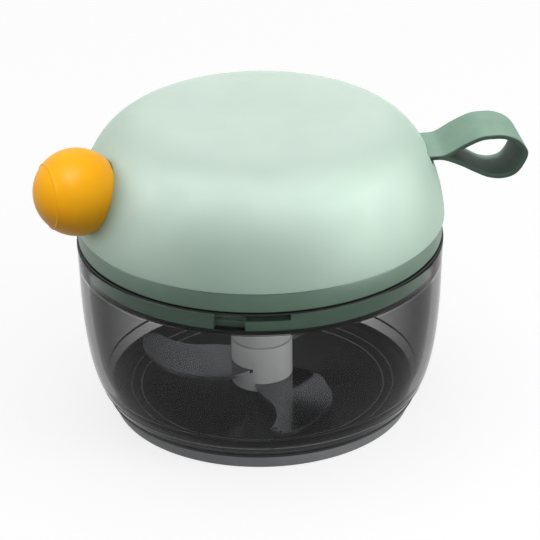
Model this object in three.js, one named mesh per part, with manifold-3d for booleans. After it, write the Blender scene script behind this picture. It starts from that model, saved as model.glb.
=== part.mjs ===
// Manual pull cord garlic chopper: a smoke bowl with three sickle blades under a domed lid.
// The lid holds a spring-returned cord reel, which drives the blades when the ball knob is pulled.
// Millimetres, +Z up. The origin is the centre of the foot pad's underside, on the blades' axis.
// The viewer's side is -Y, the knob is on the left (-X) and the hanging strap on the right (+X).

import * as THREE from 'three';
import { mergeVertices } from 'three/addons/utils/BufferGeometryUtils.js';
import Module from 'manifold-3d';

const wasm = await Module();
wasm.setup();

const { cos, sin, sqrt, acos, PI } = Math;
const deg = PI / 180;

// Clearances
const seatGap = 0.3;
const runningGap = 0.4;
const thinSeatGap = 0.25;
const cutOverrun = 1;

// Facets
const roundSides = 36;
const knobSides = 28;
const smallSides = 20;
const screwSides = 16;
const cordSides = 8;
const loopSides = 6;
const loopSteps = 24;
const sectorSteps = 6;

// Foot pad: a silicone cup under the bowl
const padTaper = 2;
const padThickness = 1.9;
const padRimHeight = 4.3;
const padRimWall = 3.4;
const padEdgeRound = 0.6;

// Bowl
const bowlRadius = 48.85;
const bowlFootRadius = 42.1;
const bowlRimZ = 48.75;
const bowlWall = 2.3;
const bowlFloorThickness = 2;
const floorRoundWidth = 7.6;
const rimWall = 1.05;
const rimSocketDepth = 5.9;
const rimLipHeight = 0.7;
const spindleBossRadius = 4.3;
const spindleBossHeight = 3.8;
const spindleSocketFloorThickness = 0.7;

// Share of the way from the foot to the rim: outward, and upward
const bowlWallShares = [
  [0, 0],
  [0.425, 0.126],
  [0.652, 0.253],
  [0.785, 0.38],
  [0.87, 0.505],
  [0.923, 0.632],
  [0.95, 0.759],
  [0.975, 0.883],
];

// Share of the way along the round between the floor and the wall: outward, and upward
const floorRoundShares = [
  [0.45, 0.15],
  [0.78, 0.5],
];

// Bayonet: lugs inside the bowl's rim, and hooked slots in the lid's skirt
const bayonetCount = 3;
const bayonetFrontAngle = 260.2 * deg;
const lockTurn = 14 * deg;
const lugHalfAngle = 4.3 * deg;
const lugReach = 2.75;
const lugHeight = 1.2;
const lugBelowRim = 0.3;
const slotSideAngle = 0.55 * deg;

// Spindle and blade unit
const spindleRadius = 2;
const spindleTopGap = 2;
const hubRadius = 8.3;
const hubBottomZ = 5;
const hubTopZ = 18;
const hubEdgeRound = 1.2;
const hubRecessRadius = 4.7;
const hubRecessTopZ = 8.6;
const bushRadius = 4;
const sleeveInset = 0.3;
const sleeveTopGap = 0.8;
const sleeveHollowRadius = 4.6;
const sleeveTopThickness = 7.4;
const sleeveShoulderRound = 1;
const driveHeadRadius = 4.4;
const driveHeadHeight = 7.1;
const driveSides = 6;

// Blades: a sickle that sweeps back from the hub, one above the other
const bladeCount = 3;
const bladeReach = 35.7;
const bladeThickness = 0.9;
const lowBladeZ = 6.5;
const bladeRise = 4.3;
const bladeStepAngle = -120 * deg;
const bladeRootRadius = 5.7;
const bladeRootStartAngle = -104 * deg;
const bladeRootEndAngle = 12 * deg;

// Blade outline, each place a share of its reach
const bladeBackShares = [
  [0.426, -0.078],
  [0.499, -0.275],
  [0.524, -0.434],
  [0.487, -0.602],
  [0.37, -0.798],
  [0.255, -0.916],
  [0.126, -0.992],
];
const bladeTipShare = [0.05, -0.902];
const bladeHollowShares = [
  [0.081, -0.835],
  [0.101, -0.714],
  [0.092, -0.591],
  [0.056, -0.496],
  [-0.006, -0.392],
];

// Seal between the bowl's rim and the lid
const sealInset = 0.1;
const sealInnerOverhang = 0.1;
const sealThickness = 0.5;

// Lid base: band, plate, skirt and bearing tube
const bandInset = 0.45;
const bandHeight = 5.15;
const bandEdgeRound = 0.5;
const skirtGap = 0.25;
const skirtWall = 2.6;
const skirtDepth = 5.6;
const plateInset = 1.25;
const plateThickness = 2;
const bandWall = 4.1;
const spigotHeight = 1;
const spigotWall = 1.4;
const bearingTubeDepth = 5;
const bearingTubeHeight = 4;
const bearingTubeWall = 2;
const reelBushWall = 1.4;
const reelBushInset = 1;

// Lock mark: a coloured insert in the skirt's right side
const markThickness = 0.8;
const markStartAngle = -20 * deg;
const markEndAngle = 8 * deg;
const markEdge = 0.6;

// Cover: a dome whose side stands nearly upright
const coverOverhang = 0.6;
const domeHeight = 28.3;
const coverWall = 2;
const domeSidePower = 6.3;
const domeTopPower = 1.47;
const domeSteps = 10;
const coverEdgeRound = 0.5;

// Cover screws and their bosses
const screwCount = 3;
const screwFirstAngle = 100 * deg;
const screwEdgeDistance = 4.95;
const screwBossRadius = 3.4;
const screwRadius = 1.25;
const screwLength = 9.2;
const screwHeadRadius = 2.7;
const screwHeadHeight = 1.5;
const screwDriveRadius = 1.1;
const screwDriveDepth = 0.8;

// Pull knob: a ball with a cap, seated in a round hollow of the cover
const knobAngle = 201 * deg;
const knobRadius = 11.4;
const knobStandOut = 1.3;
const knobHeight = 14.8;
const knobFlatShare = 0.77;
const knobSeamShare = 0.683;
const knobBoreRadius = 1.4;
const knobChamberRadius = 4.2;
const knobChamberBaseHeight = 0.6;
const knobCapInset = 0.2;
const knobCapGap = 0.3;
const capPlugDepth = 1.6;
const knobSteps = 10;
const capSteps = 5;
const knobSeatClearance = 0.5;

// Cord, its knot, its guide and its travel
const cordRadius = 0.9;
const knotRadius = 2.4;
const knotSteps = 6;
const guideBoreRadius = 1.4;
const guideTubeRadius = 2.3;
const guideFlangeRadius = 3.4;
const guideFlangeThickness = 1.1;
const guideInnerOverhang = 0.8;
const guideMouthRound = 0.5;
const cordBendSetback = 2.2;
const cordBendLength = 3;
const cordLeadDistance = 9.2;
const leadSteps = 18;

// Reel, wound cord, power spring and arbor
const drumRadius = 16.2;
const reelFlangeRadius = 24;
const reelFlangeThickness = 1.5;
const reelChannelHeight = 11;
const reelCupWall = 2;
const reelCupFloorThickness = 1.5;
const reelShaftRadius = 6.2;
const reelShaftOverhang = 1.8;
const reelCollarRadius = 10;
const driveSocketDepth = 7.3;
const driveSocketGap = 0.4;
const windingTurns = 3.5;
const windingPitch = 2.4;
const springTurns = 5;
const springThickness = 0.5;
const springHeight = 7.5;
const springInnerRadius = 4.9;
const springOuterGap = 0.7;
const springStepsPerTurn = 16;
const arborRadius = 4;
const arborScrewRadius = 1.25;
const arborScrewLength = 10;
const arborScrewHeadRadius = 2.6;
const arborScrewHeadHeight = 1.4;
const arborBossRadius = 5.5;
const arborBossHeight = 2.2;
const arborFootGap = 0.4;
const retainerThickness = 0.8;
const retainerBoreRadius = 5.2;

// Hanging strap: one moulded loop with an eye for its pin
const strapAngle = 7.5 * deg;
const strapWidth = 16;
const strapThickness = 1.3;
const strapNeckDepth = 2.5;
const strapHeight = 15.4;
const strapLoopLength = 24.2;
const strapLoopRise = 5.2;
const strapLoopDrop = 7.2;
const strapEyeDistance = 8.9;
const strapEyeRadius = 3.1;
const strapPinRadius = 1.45;
const strapSlotGap = 0.5;
const strapSteps = 40;
const strapFusedSteps = 2;
const earWidth = 2;
const earHeight = 8;
const earLength = 9.5;

// Share of the loop's length, and of its rise (above) or drop (below)
const strapTopShares = [
  [0.1, 0.16],
  [0.28, 0.58],
  [0.46, 0.92],
  [0.6, 1],
  [0.75, 0.94],
  [0.9, 0.62],
];
const strapEndShare = [1, -0.02];
const strapLowShares = [
  [0.955, -0.5],
  [0.86, -0.87],
  [0.72, -1],
  [0.56, -0.92],
  [0.4, -0.66],
  [0.26, -0.4],
  [0.1, -0.16],
];

// Places worked out from the sizes above
const padBottomRadius = bowlFootRadius - padTaper;
const floorFlatRadius = bowlFootRadius - floorRoundWidth;
const bowlFootZ = padRimHeight + seatGap;
const bowlUndersideZ = padThickness + seatGap;
const floorZ = bowlUndersideZ + bowlFloorThickness;
const rimInnerRadius = bowlRadius - rimWall;
const rimLedgeZ = bowlRimZ - rimSocketDepth;
const skirtRadius = rimInnerRadius - skirtGap;
const skirtInnerRadius = skirtRadius - skirtWall;
const sealRadius = bowlRadius - sealInset;
const sealInnerRadius = rimInnerRadius - sealInnerOverhang;
const bandRadius = bowlRadius - bandInset;
const coverRadius = bandRadius + coverOverhang;
const screwCircleRadius = skirtInnerRadius - screwEdgeDistance;
const knobCentreRadius = coverRadius + knobStandOut;
const strapNeckRadius = coverRadius - strapNeckDepth;
const strapEyeCentreRadius = strapNeckRadius - strapEyeDistance;
const sealBottomZ = bowlRimZ + thinSeatGap;
const bandBottomZ = sealBottomZ + sealThickness + thinSeatGap;
const bandTopZ = bandBottomZ + bandHeight;
const skirtBottomZ = bandBottomZ - skirtDepth;
const plateUndersideZ = bandBottomZ + plateInset;
const creaseZ = bandTopZ + seatGap;
const knobZ = creaseZ + knobHeight;
const strapNeckZ = creaseZ + strapHeight;
const coverTopZ = creaseZ + domeHeight;
const plateTopZ = plateUndersideZ + plateThickness;
const bearingTubeBottomZ = plateUndersideZ - bearingTubeDepth;
const bearingTubeTopZ = plateTopZ + bearingTubeHeight;
const reelShaftBottomZ = bearingTubeBottomZ - reelShaftOverhang;
const sleeveTopZ = reelShaftBottomZ - sleeveTopGap;
const sleeveHollowTopZ = sleeveTopZ - sleeveTopThickness;
const spindleTopZ = sleeveHollowTopZ - spindleTopGap;
const lugTopZ = bowlRimZ - lugBelowRim;
const lugBottomZ = lugTopZ - lugHeight;
const knobSeatRadius = knobRadius + knobSeatClearance;
const knobFlatRadius = knobCentreRadius - knobRadius * knobFlatShare;
const sleeveRadius = hubRadius - sleeveInset;
const sleeveBottomZ = hubTopZ + seatGap;
const reelBushBore = reelShaftRadius + seatGap;
const reelBushRadius = reelBushBore + reelBushWall;
const bearingBoreRadius = reelBushRadius + seatGap;
const channelBottomZ = knobZ - reelChannelHeight / 2;
const channelTopZ = knobZ + reelChannelHeight / 2;
const reelTopZ = channelTopZ + reelFlangeThickness;
const reelBottomZ = channelBottomZ - reelFlangeThickness;
const reelCupRadius = drumRadius - reelCupWall;
const reelCupFloorZ = channelBottomZ + reelCupFloorThickness;
const windingRadius = drumRadius + seatGap + cordRadius;
const pullDirection = new THREE.Vector3(cos(knobAngle), sin(knobAngle), 0);
const knobCentre = pullDirection.clone().multiplyScalar(knobCentreRadius).setZ(knobZ);

// A profile of [radius, height] pairs, anticlockwise, turned about Z
function lathe(profile, sides = roundSides) {
  const points = profile.map(([radius, height]) => new THREE.Vector2(radius, height));
  if (profile[0][0] > 0) {
    points.push(points[0].clone());
  }
  return new THREE.LatheGeometry(points, sides).rotateX(PI / 2);
}

// A round or many-sided bar along Z
function bar(radius, bottomZ, topZ, sides = smallSides) {
  const geometry = new THREE.CylinderGeometry(radius, radius, topZ - bottomZ, sides);
  return geometry.rotateX(PI / 2).translate(0, 0, (bottomZ + topZ) / 2);
}

// A block with its middle at the given place
function block(length, width, height, x, y, z) {
  return new THREE.BoxGeometry(length, width, height).translate(x, y, z);
}

// A piece of a ring about Z, between two angles
function ringSector(innerRadius, outerRadius, bottomZ, topZ, startAngle, endAngle) {
  const shape = new THREE.Shape();
  shape.absarc(0, 0, outerRadius, startAngle, endAngle, false);
  shape.absarc(0, 0, innerRadius, endAngle, startAngle, true);
  const settings = { depth: topZ - bottomZ, bevelEnabled: false, curveSegments: sectorSteps };
  return new THREE.ExtrudeGeometry(shape, settings).translate(0, 0, bottomZ);
}

// Points of a circular arc in a profile, about a centre on the axis
function arcProfile(radius, centreZ, startHeight, endHeight, steps) {
  const startAngle = Math.asin(startHeight / radius);
  const endAngle = Math.asin(endHeight / radius);
  return Array.from({ length: steps + 1 }, (_, step) => {
    const angle = startAngle + (endAngle - startAngle) * (step / steps);
    const onAxis = endHeight === radius && step === steps;
    return [onAxis ? 0 : radius * cos(angle), centreZ + radius * sin(angle)];
  });
}

// A tube of the given sides along a curve
function tubeAlong(curve, radius, sides, steps) {
  const shape = new THREE.Shape();
  for (let side = 0; side < sides; side += 1) {
    const angle = (side / sides) * 2 * PI;
    const place = [radius * cos(angle), radius * sin(angle)];
    side === 0 ? shape.moveTo(...place) : shape.lineTo(...place);
  }
  return new THREE.ExtrudeGeometry(shape, { steps, bevelEnabled: false, extrudePath: curve });
}

// A closed geometry as a solid that can be joined and cut
function solid(geometry) {
  const bare = geometry.index ? geometry.toNonIndexed() : geometry.clone();
  bare.deleteAttribute('normal');
  bare.deleteAttribute('uv');
  const merged = mergeVertices(bare);
  return new wasm.Manifold(
    new wasm.Mesh({
      numProp: 3,
      vertProperties: merged.attributes.position.array,
      triVerts: new Uint32Array(merged.index.array),
    }),
  );
}

// The solid's geometry, for its mesh
function geometryOf(body) {
  const { vertProperties, triVerts } = body.getMesh();
  const geometry = new THREE.BufferGeometry();
  geometry.setAttribute('position', new THREE.BufferAttribute(vertProperties, 3));
  geometry.setIndex(new THREE.BufferAttribute(triVerts, 1));
  return geometry;
}

function joined(base, additions) {
  return additions.reduce((body, geometry) => body.add(solid(geometry)), base);
}

function cut(base, removals) {
  return removals.reduce((body, geometry) => body.subtract(solid(geometry)), base);
}

// Angles of a pattern spread evenly about the axis
function spreadAngles(count, firstAngle) {
  return Array.from({ length: count }, (_, index) => firstAngle + (index / count) * 2 * PI);
}

// Local Z runs outward along the cord, measured from the blades' axis
const pullFrame = new THREE.Matrix4().compose(
  new THREE.Vector3(0, 0, knobZ),
  new THREE.Quaternion().setFromUnitVectors(new THREE.Vector3(0, 0, 1), pullDirection),
  new THREE.Vector3(1, 1, 1),
);

// Foot pad and bowl
function footPadGeometry() {
  return lathe([
    [0, 0],
    [padBottomRadius - padEdgeRound, 0],
    [padBottomRadius, padEdgeRound],
    [bowlFootRadius, padRimHeight],
    [bowlFootRadius - padRimWall, padRimHeight],
    [bowlFootRadius - padRimWall, padThickness],
    [0, padThickness],
  ]);
}

function bowlWallPlace([outShare, upShare], wall) {
  const radius = bowlFootRadius + (bowlRadius - bowlFootRadius) * outShare;
  return [radius - wall, bowlFootZ + (bowlRimZ - bowlFootZ) * upShare];
}

function bowlGeometry() {
  const outerWall = bowlWallShares.map((share) => bowlWallPlace(share, 0));
  const innerWall = bowlWallShares.slice(1, -1).map((share) => bowlWallPlace(share, bowlWall));
  const [wallFootRadius, wallFootZ] = innerWall[0];
  const floorRound = floorRoundShares.map(([outShare, upShare]) => [
    floorFlatRadius + (wallFootRadius - floorFlatRadius) * outShare,
    floorZ + (wallFootZ - floorZ) * upShare,
  ]);
  const ledgeInnerRadius = innerWall.at(-1)[0] + seatGap;
  const plugRadius = bowlFootRadius - padRimWall - seatGap;
  const socketRadius = spindleRadius + seatGap;
  const bossTopZ = floorZ + spindleBossHeight;
  const turned = lathe([
    [0, bowlUndersideZ],
    [plugRadius, bowlUndersideZ],
    [plugRadius, bowlFootZ],
    ...outerWall,
    [bowlRadius, bowlRimZ - rimLipHeight],
    [bowlRadius, bowlRimZ],
    [rimInnerRadius, bowlRimZ],
    [rimInnerRadius, rimLedgeZ],
    [ledgeInnerRadius, rimLedgeZ - rimLipHeight],
    ...innerWall.reverse(),
    ...floorRound.reverse(),
    [floorFlatRadius, floorZ],
    [spindleBossRadius, floorZ],
    [spindleBossRadius, bossTopZ],
    [socketRadius, bossTopZ],
    [socketRadius, bowlUndersideZ + spindleSocketFloorThickness],
    [0, bowlUndersideZ + spindleSocketFloorThickness],
  ]);
  const lugs = spreadAngles(bayonetCount, bayonetFrontAngle).map((angle) =>
    ringSector(
      rimInnerRadius - lugReach,
      rimInnerRadius + rimWall / 2,
      lugBottomZ,
      lugTopZ,
      angle - lugHalfAngle,
      angle + lugHalfAngle,
    ),
  );
  return geometryOf(joined(solid(turned), lugs));
}

function spindleGeometry() {
  return bar(spindleRadius, bowlUndersideZ + spindleSocketFloorThickness + seatGap, spindleTopZ);
}

function sealGeometry() {
  return lathe([
    [sealInnerRadius, sealBottomZ],
    [sealRadius, sealBottomZ],
    [sealRadius, sealBottomZ + sealThickness],
    [sealInnerRadius, sealBottomZ + sealThickness],
  ]);
}

// Blade unit
function bladeZ(index) {
  return lowBladeZ + index * bladeRise;
}

function hubGeometry() {
  const boreRadius = bushRadius + seatGap;
  const turned = lathe(
    [
      [hubRecessRadius, hubBottomZ],
      [hubRadius - hubEdgeRound, hubBottomZ],
      [hubRadius, hubBottomZ + hubEdgeRound],
      [hubRadius, hubTopZ],
      [boreRadius, hubTopZ],
      [boreRadius, hubRecessTopZ],
      [hubRecessRadius, hubRecessTopZ],
    ],
    knobSides,
  );
  const sideGapAngle = seatGap / bladeRootRadius;
  const slots = Array.from({ length: bladeCount }, (_, index) =>
    ringSector(
      bladeRootRadius - seatGap,
      hubRadius + cutOverrun,
      bladeZ(index) - seatGap,
      bladeZ(index) + bladeThickness + seatGap,
      bladeRootStartAngle - sideGapAngle + index * bladeStepAngle,
      bladeRootEndAngle + sideGapAngle + index * bladeStepAngle,
    ),
  );
  return geometryOf(cut(solid(turned), slots));
}

function bushGeometry() {
  const boreRadius = spindleRadius + seatGap;
  return lathe(
    [
      [boreRadius, hubRecessTopZ],
      [bushRadius, hubRecessTopZ],
      [bushRadius, hubTopZ],
      [boreRadius, hubTopZ],
    ],
    smallSides,
  );
}

function driveSleeveGeometry() {
  const turned = lathe(
    [
      [0, sleeveHollowTopZ],
      [sleeveHollowRadius, sleeveHollowTopZ],
      [sleeveHollowRadius, sleeveBottomZ],
      [sleeveRadius, sleeveBottomZ],
      [sleeveRadius, sleeveTopZ - sleeveShoulderRound],
      [sleeveRadius - sleeveShoulderRound, sleeveTopZ],
      [0, sleeveTopZ],
    ],
    knobSides,
  );
  const head = bar(
    driveHeadRadius,
    sleeveTopZ - sleeveShoulderRound,
    sleeveTopZ + driveHeadHeight,
    driveSides,
  );
  return geometryOf(joined(solid(turned), [head]));
}

// The first blade lies at its root's angle, and the others are turned copies of it
function bladeGeometry() {
  const place = ([x, y]) => new THREE.Vector2(x * bladeReach, y * bladeReach);
  const atHub = (radius, angle) => new THREE.Vector2(radius * cos(angle), radius * sin(angle));
  const shape = new THREE.Shape();
  const rootStart = atHub(bladeRootRadius, bladeRootStartAngle);
  shape.moveTo(rootStart.x, rootStart.y);
  shape.absarc(0, 0, bladeRootRadius, bladeRootStartAngle, bladeRootEndAngle, false);
  const hubEdge = atHub(hubRadius, bladeRootEndAngle);
  shape.lineTo(hubEdge.x, hubEdge.y);
  shape.splineThru(bladeBackShares.map(place));
  const tip = place(bladeTipShare);
  shape.lineTo(tip.x, tip.y);
  shape.splineThru([...bladeHollowShares.map(place), atHub(hubRadius, bladeRootStartAngle)]);
  const settings = { depth: bladeThickness, bevelEnabled: false, curveSegments: sectorSteps };
  return new THREE.ExtrudeGeometry(shape, settings);
}

// Lid base
function lidBaseGeometry() {
  const bandInnerRadius = bandRadius - bandWall;
  const tubeRadius = bearingBoreRadius + bearingTubeWall;
  const spigotRadius = coverRadius - coverWall - runningGap;
  const turned = lathe([
    [bearingBoreRadius, bearingTubeBottomZ],
    [tubeRadius, bearingTubeBottomZ],
    [tubeRadius, plateUndersideZ],
    [skirtInnerRadius, plateUndersideZ],
    [skirtInnerRadius, skirtBottomZ],
    [skirtRadius, skirtBottomZ],
    [skirtRadius, bandBottomZ],
    [bandRadius - bandEdgeRound, bandBottomZ],
    [bandRadius, bandBottomZ + bandEdgeRound],
    [bandRadius, bandTopZ],
    [spigotRadius, bandTopZ],
    [spigotRadius, bandTopZ + spigotHeight],
    [spigotRadius - spigotWall, bandTopZ + spigotHeight],
    [spigotRadius - spigotWall, bandTopZ],
    [bandInnerRadius, bandTopZ],
    [bandInnerRadius, plateTopZ],
    [tubeRadius, plateTopZ],
    [tubeRadius, bearingTubeTopZ],
    [bearingBoreRadius, bearingTubeTopZ],
  ]);
  const slotHalfAngle = lugHalfAngle + slotSideAngle;
  const slotInnerRadius = rimInnerRadius - lugReach - seatGap;
  const slotOuterRadius = skirtRadius + cutOverrun;
  const slotTopZ = lugTopZ + seatGap;
  const slots = spreadAngles(bayonetCount, bayonetFrontAngle).flatMap((angle) => [
    ringSector(
      slotInnerRadius,
      slotOuterRadius,
      skirtBottomZ - cutOverrun,
      slotTopZ,
      angle - slotHalfAngle,
      angle + slotHalfAngle,
    ),
    ringSector(
      slotInnerRadius,
      slotOuterRadius,
      lugBottomZ - seatGap,
      slotTopZ,
      angle,
      angle + lockTurn + slotHalfAngle,
    ),
  ]);
  const markSocket = ringSector(
    skirtRadius - markThickness - seatGap,
    slotOuterRadius,
    skirtBottomZ - cutOverrun,
    markTopZ() + seatGap,
    markStartAngle - seatGap / skirtRadius,
    markEndAngle + seatGap / skirtRadius,
  );
  const screwHoles = spreadAngles(screwCount, screwFirstAngle).map((angle) =>
    bar(
      screwRadius + runningGap,
      plateUndersideZ - cutOverrun,
      plateTopZ + cutOverrun,
      screwSides,
    ).translate(screwCircleRadius * cos(angle), screwCircleRadius * sin(angle), 0),
  );
  return geometryOf(cut(solid(turned), [...slots, markSocket, ...screwHoles]));
}

function markTopZ() {
  return bandBottomZ - markEdge - seatGap;
}

function lockMarkGeometry() {
  return ringSector(
    skirtRadius - markThickness,
    skirtRadius,
    skirtBottomZ,
    markTopZ(),
    markStartAngle,
    markEndAngle,
  );
}

function reelBushGeometry() {
  return lathe(
    [
      [reelBushBore, bearingTubeBottomZ + reelBushInset],
      [reelBushRadius, bearingTubeBottomZ + reelBushInset],
      [reelBushRadius, bearingTubeTopZ - reelBushInset],
      [reelBushBore, bearingTubeTopZ - reelBushInset],
    ],
    smallSides,
  );
}

// Cover
function domeProfile(radius, height) {
  return Array.from({ length: domeSteps + 1 }, (_, step) => {
    const angle = (step / domeSteps) * (PI / 2);
    const across = step === domeSteps ? 0 : radius * cos(angle) ** (2 / domeSidePower);
    return [across, creaseZ + height * sin(angle) ** (2 / domeTopPower)];
  });
}

// The strap's own directions: along it, across it and up
function atStrap(geometry) {
  return geometry.rotateZ(strapAngle);
}

function coverGeometry() {
  const outside = domeProfile(coverRadius, domeHeight);
  const inside = domeProfile(coverRadius - coverWall, domeHeight - coverWall);
  outside[0] = [coverRadius - coverEdgeRound, creaseZ];
  outside.splice(1, 0, [coverRadius, creaseZ + coverEdgeRound]);
  const filled = solid(lathe([[0, creaseZ], ...outside]));
  const shell = solid(lathe([...inside.reverse(), ...outside]));

  const bossTopZ = coverTopZ - coverWall;
  const screwPlaces = spreadAngles(screwCount, screwFirstAngle).map((angle) => [
    screwCircleRadius * cos(angle),
    screwCircleRadius * sin(angle),
  ]);
  const bosses = screwPlaces.map(([x, y]) =>
    bar(screwBossRadius, creaseZ, bossTopZ, screwSides).translate(x, y, 0),
  );
  const bossFeet = screwPlaces.map(([x, y]) =>
    bar(screwBossRadius, plateTopZ + seatGap, creaseZ + cutOverrun, screwSides).translate(x, y, 0),
  );
  const knobCup = new THREE.SphereGeometry(knobSeatRadius + coverWall, smallSides, screwSides);
  const arborBoss = bar(arborBossRadius, bossTopZ - arborBossHeight, bossTopZ + coverWall / 2);
  const earMiddle = (strapEyeRadius + earLength) / 2 + strapEyeCentreRadius - strapEyeRadius;
  const ears = [-1, 1].map((side) =>
    atStrap(
      block(
        strapEyeRadius + earLength,
        earWidth,
        earHeight,
        earMiddle,
        side * (strapWidth / 2 + runningGap + earWidth / 2),
        strapNeckZ,
      ),
    ),
  );
  const fittings = [
    ...bosses,
    knobCup.translate(knobCentre.x, knobCentre.y, knobCentre.z),
    arborBoss,
    ...ears,
  ];
  const lined = fittings.reduce(
    (body, geometry) => body.add(solid(geometry).intersect(filled)),
    shell,
  );
  const whole = joined(lined, bossFeet);

  const knobSeat = new THREE.SphereGeometry(knobSeatRadius, smallSides, screwSides);
  const guideHole = bar(
    guideTubeRadius + seatGap,
    knobCentreRadius - knobSeatRadius - coverWall - cutOverrun,
    knobCentreRadius,
    screwSides,
  );
  const strapSlot = atStrap(
    block(
      coverRadius - strapEyeCentreRadius,
      strapWidth + 2 * runningGap,
      2 * (strapThickness + strapSlotGap),
      (coverRadius + strapEyeCentreRadius) / 2,
      0,
      strapNeckZ,
    ),
  );
  const earHole = atStrap(
    bar(
      strapPinRadius + seatGap,
      -strapWidth,
      strapWidth,
      screwSides,
    )
      .rotateX(PI / 2)
      .translate(strapEyeCentreRadius, 0, strapNeckZ),
  );
  const screwHoles = screwPlaces.map(([x, y]) =>
    bar(
      screwRadius + seatGap,
      plateTopZ - cutOverrun,
      screwHeadTopZ() + screwLength + seatGap,
      screwSides,
    ).translate(x, y, 0),
  );
  const arborHole = bar(
    arborScrewRadius + seatGap,
    bossTopZ - arborBossHeight - cutOverrun,
    bossTopZ - seatGap,
    screwSides,
  );
  return geometryOf(
    cut(whole, [
      knobSeat.translate(knobCentre.x, knobCentre.y, knobCentre.z),
      guideHole.applyMatrix4(pullFrame),
      strapSlot,
      earHole,
      ...screwHoles,
      arborHole,
    ]),
  );
}

function screwHeadTopZ() {
  return plateUndersideZ - seatGap;
}

// A pan-head screw pointing up, its head's upper face at height zero
function screwGeometry(shankRadius, length, headRadius, headHeight) {
  const turned = lathe(
    [
      [0, -headHeight],
      [headRadius - screwHeadRound(headHeight), -headHeight],
      [headRadius, -headHeight + screwHeadRound(headHeight)],
      [headRadius, 0],
      [shankRadius, 0],
      [shankRadius, length - shankRadius],
      [0, length],
    ],
    screwSides,
  );
  const recess = bar(
    screwDriveRadius,
    -headHeight - cutOverrun,
    -headHeight + screwDriveDepth,
    driveSides,
  );
  return geometryOf(cut(solid(turned), [recess]));
}

function screwHeadRound(headHeight) {
  return headHeight / 3;
}

// Cord guide, in the pull frame
function guideGeometry() {
  const innerRadius = guideInnerRadius();
  const flangeSeat = sqrt(knobSeatRadius ** 2 - guideFlangeRadius ** 2);
  const flangeRadius = knobCentreRadius - flangeSeat + seatGap;
  const mouthRadius = flangeRadius + guideFlangeThickness;
  return lathe(
    [
      [guideBoreRadius + guideMouthRound, innerRadius],
      [guideTubeRadius, innerRadius],
      [guideTubeRadius, flangeRadius],
      [guideFlangeRadius, flangeRadius],
      [guideFlangeRadius, mouthRadius],
      [guideBoreRadius + guideMouthRound, mouthRadius],
      [guideBoreRadius, mouthRadius - guideMouthRound],
      [guideBoreRadius, innerRadius + guideMouthRound],
    ],
    smallSides,
  );
}

function guideInnerRadius() {
  return knobCentreRadius - knobSeatRadius - coverWall - guideInnerOverhang;
}

// Where the cord leaves the drum, and where it turns into the guide
const cordBendRadius = guideInnerRadius() - cordBendSetback;
const leaveAngle = knobAngle - acos(windingRadius / cordBendRadius);

function cordLeadGeometry() {
  const leave = new THREE.Vector3(cos(leaveAngle), sin(leaveAngle), 0);
  leave.multiplyScalar(windingRadius).setZ(knobZ);
  const bend = pullDirection.clone().multiplyScalar(cordBendRadius).setZ(knobZ);
  const toBend = bend.clone().sub(leave).normalize();
  const start = leave.clone().addScaledVector(toBend, cordLeadDistance);
  const end = pullDirection.clone().multiplyScalar(knobFlatRadius - seatGap).setZ(knobZ);
  const bendStart = bend.clone().addScaledVector(toBend, -cordBendLength);
  const bendEnd = bend.clone().addScaledVector(pullDirection, cordBendLength);
  const round = new THREE.QuadraticBezierCurve3(bendStart, bend, bendEnd);
  const route = new THREE.CatmullRomCurve3([start, ...round.getPoints(sectorSteps), end]);
  return tubeAlong(route, cordRadius, cordSides, leadSteps);
}

// Cord wound on the drum, from where it leaves, back round the drum
class WoundCord extends THREE.Curve {
  getPoint(share) {
    const angle = leaveAngle - share * windingTurns * 2 * PI;
    const height = knobZ + (0.5 - share) * windingTurns * windingPitch;
    return new THREE.Vector3(windingRadius * cos(angle), windingRadius * sin(angle), height);
  }
}

function windingGeometry() {
  return tubeAlong(new WoundCord(), cordRadius, loopSides, windingTurns * loopSteps);
}

// Least gap between one turn of the wound cord and the next, on points along it
function leastWindingGap() {
  const points = new WoundCord().getPoints(windingTurns * loopSteps);
  const distances = points.flatMap((point, index) =>
    points.slice(index + loopSteps / 2).map((other) => point.distanceTo(other)),
  );
  return Math.min(...distances) - 2 * cordRadius;
}

// Reel
function reelGeometry() {
  const turned = lathe([
    [0, reelShaftBottomZ],
    [reelShaftRadius, reelShaftBottomZ],
    [reelShaftRadius, bearingTubeTopZ + seatGap],
    [reelCollarRadius, bearingTubeTopZ + seatGap],
    [reelCollarRadius, reelBottomZ],
    [reelFlangeRadius, reelBottomZ],
    [reelFlangeRadius, channelBottomZ],
    [drumRadius, channelBottomZ],
    [drumRadius, channelTopZ],
    [reelFlangeRadius, channelTopZ],
    [reelFlangeRadius, reelTopZ],
    [reelCupRadius, reelTopZ],
    [reelCupRadius, reelCupFloorZ],
    [0, reelCupFloorZ],
  ], knobSides);
  const socket = bar(
    driveHeadRadius + driveSocketGap,
    reelShaftBottomZ - cutOverrun,
    reelShaftBottomZ + driveSocketDepth,
    driveSides,
  );
  return geometryOf(cut(solid(turned), [socket]));
}

function retainerGeometry() {
  return lathe(
    [
      [retainerBoreRadius, reelTopZ + seatGap],
      [drumRadius, reelTopZ + seatGap],
      [drumRadius, reelTopZ + seatGap + retainerThickness],
      [retainerBoreRadius, reelTopZ + seatGap + retainerThickness],
    ],
    smallSides,
  );
}

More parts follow.
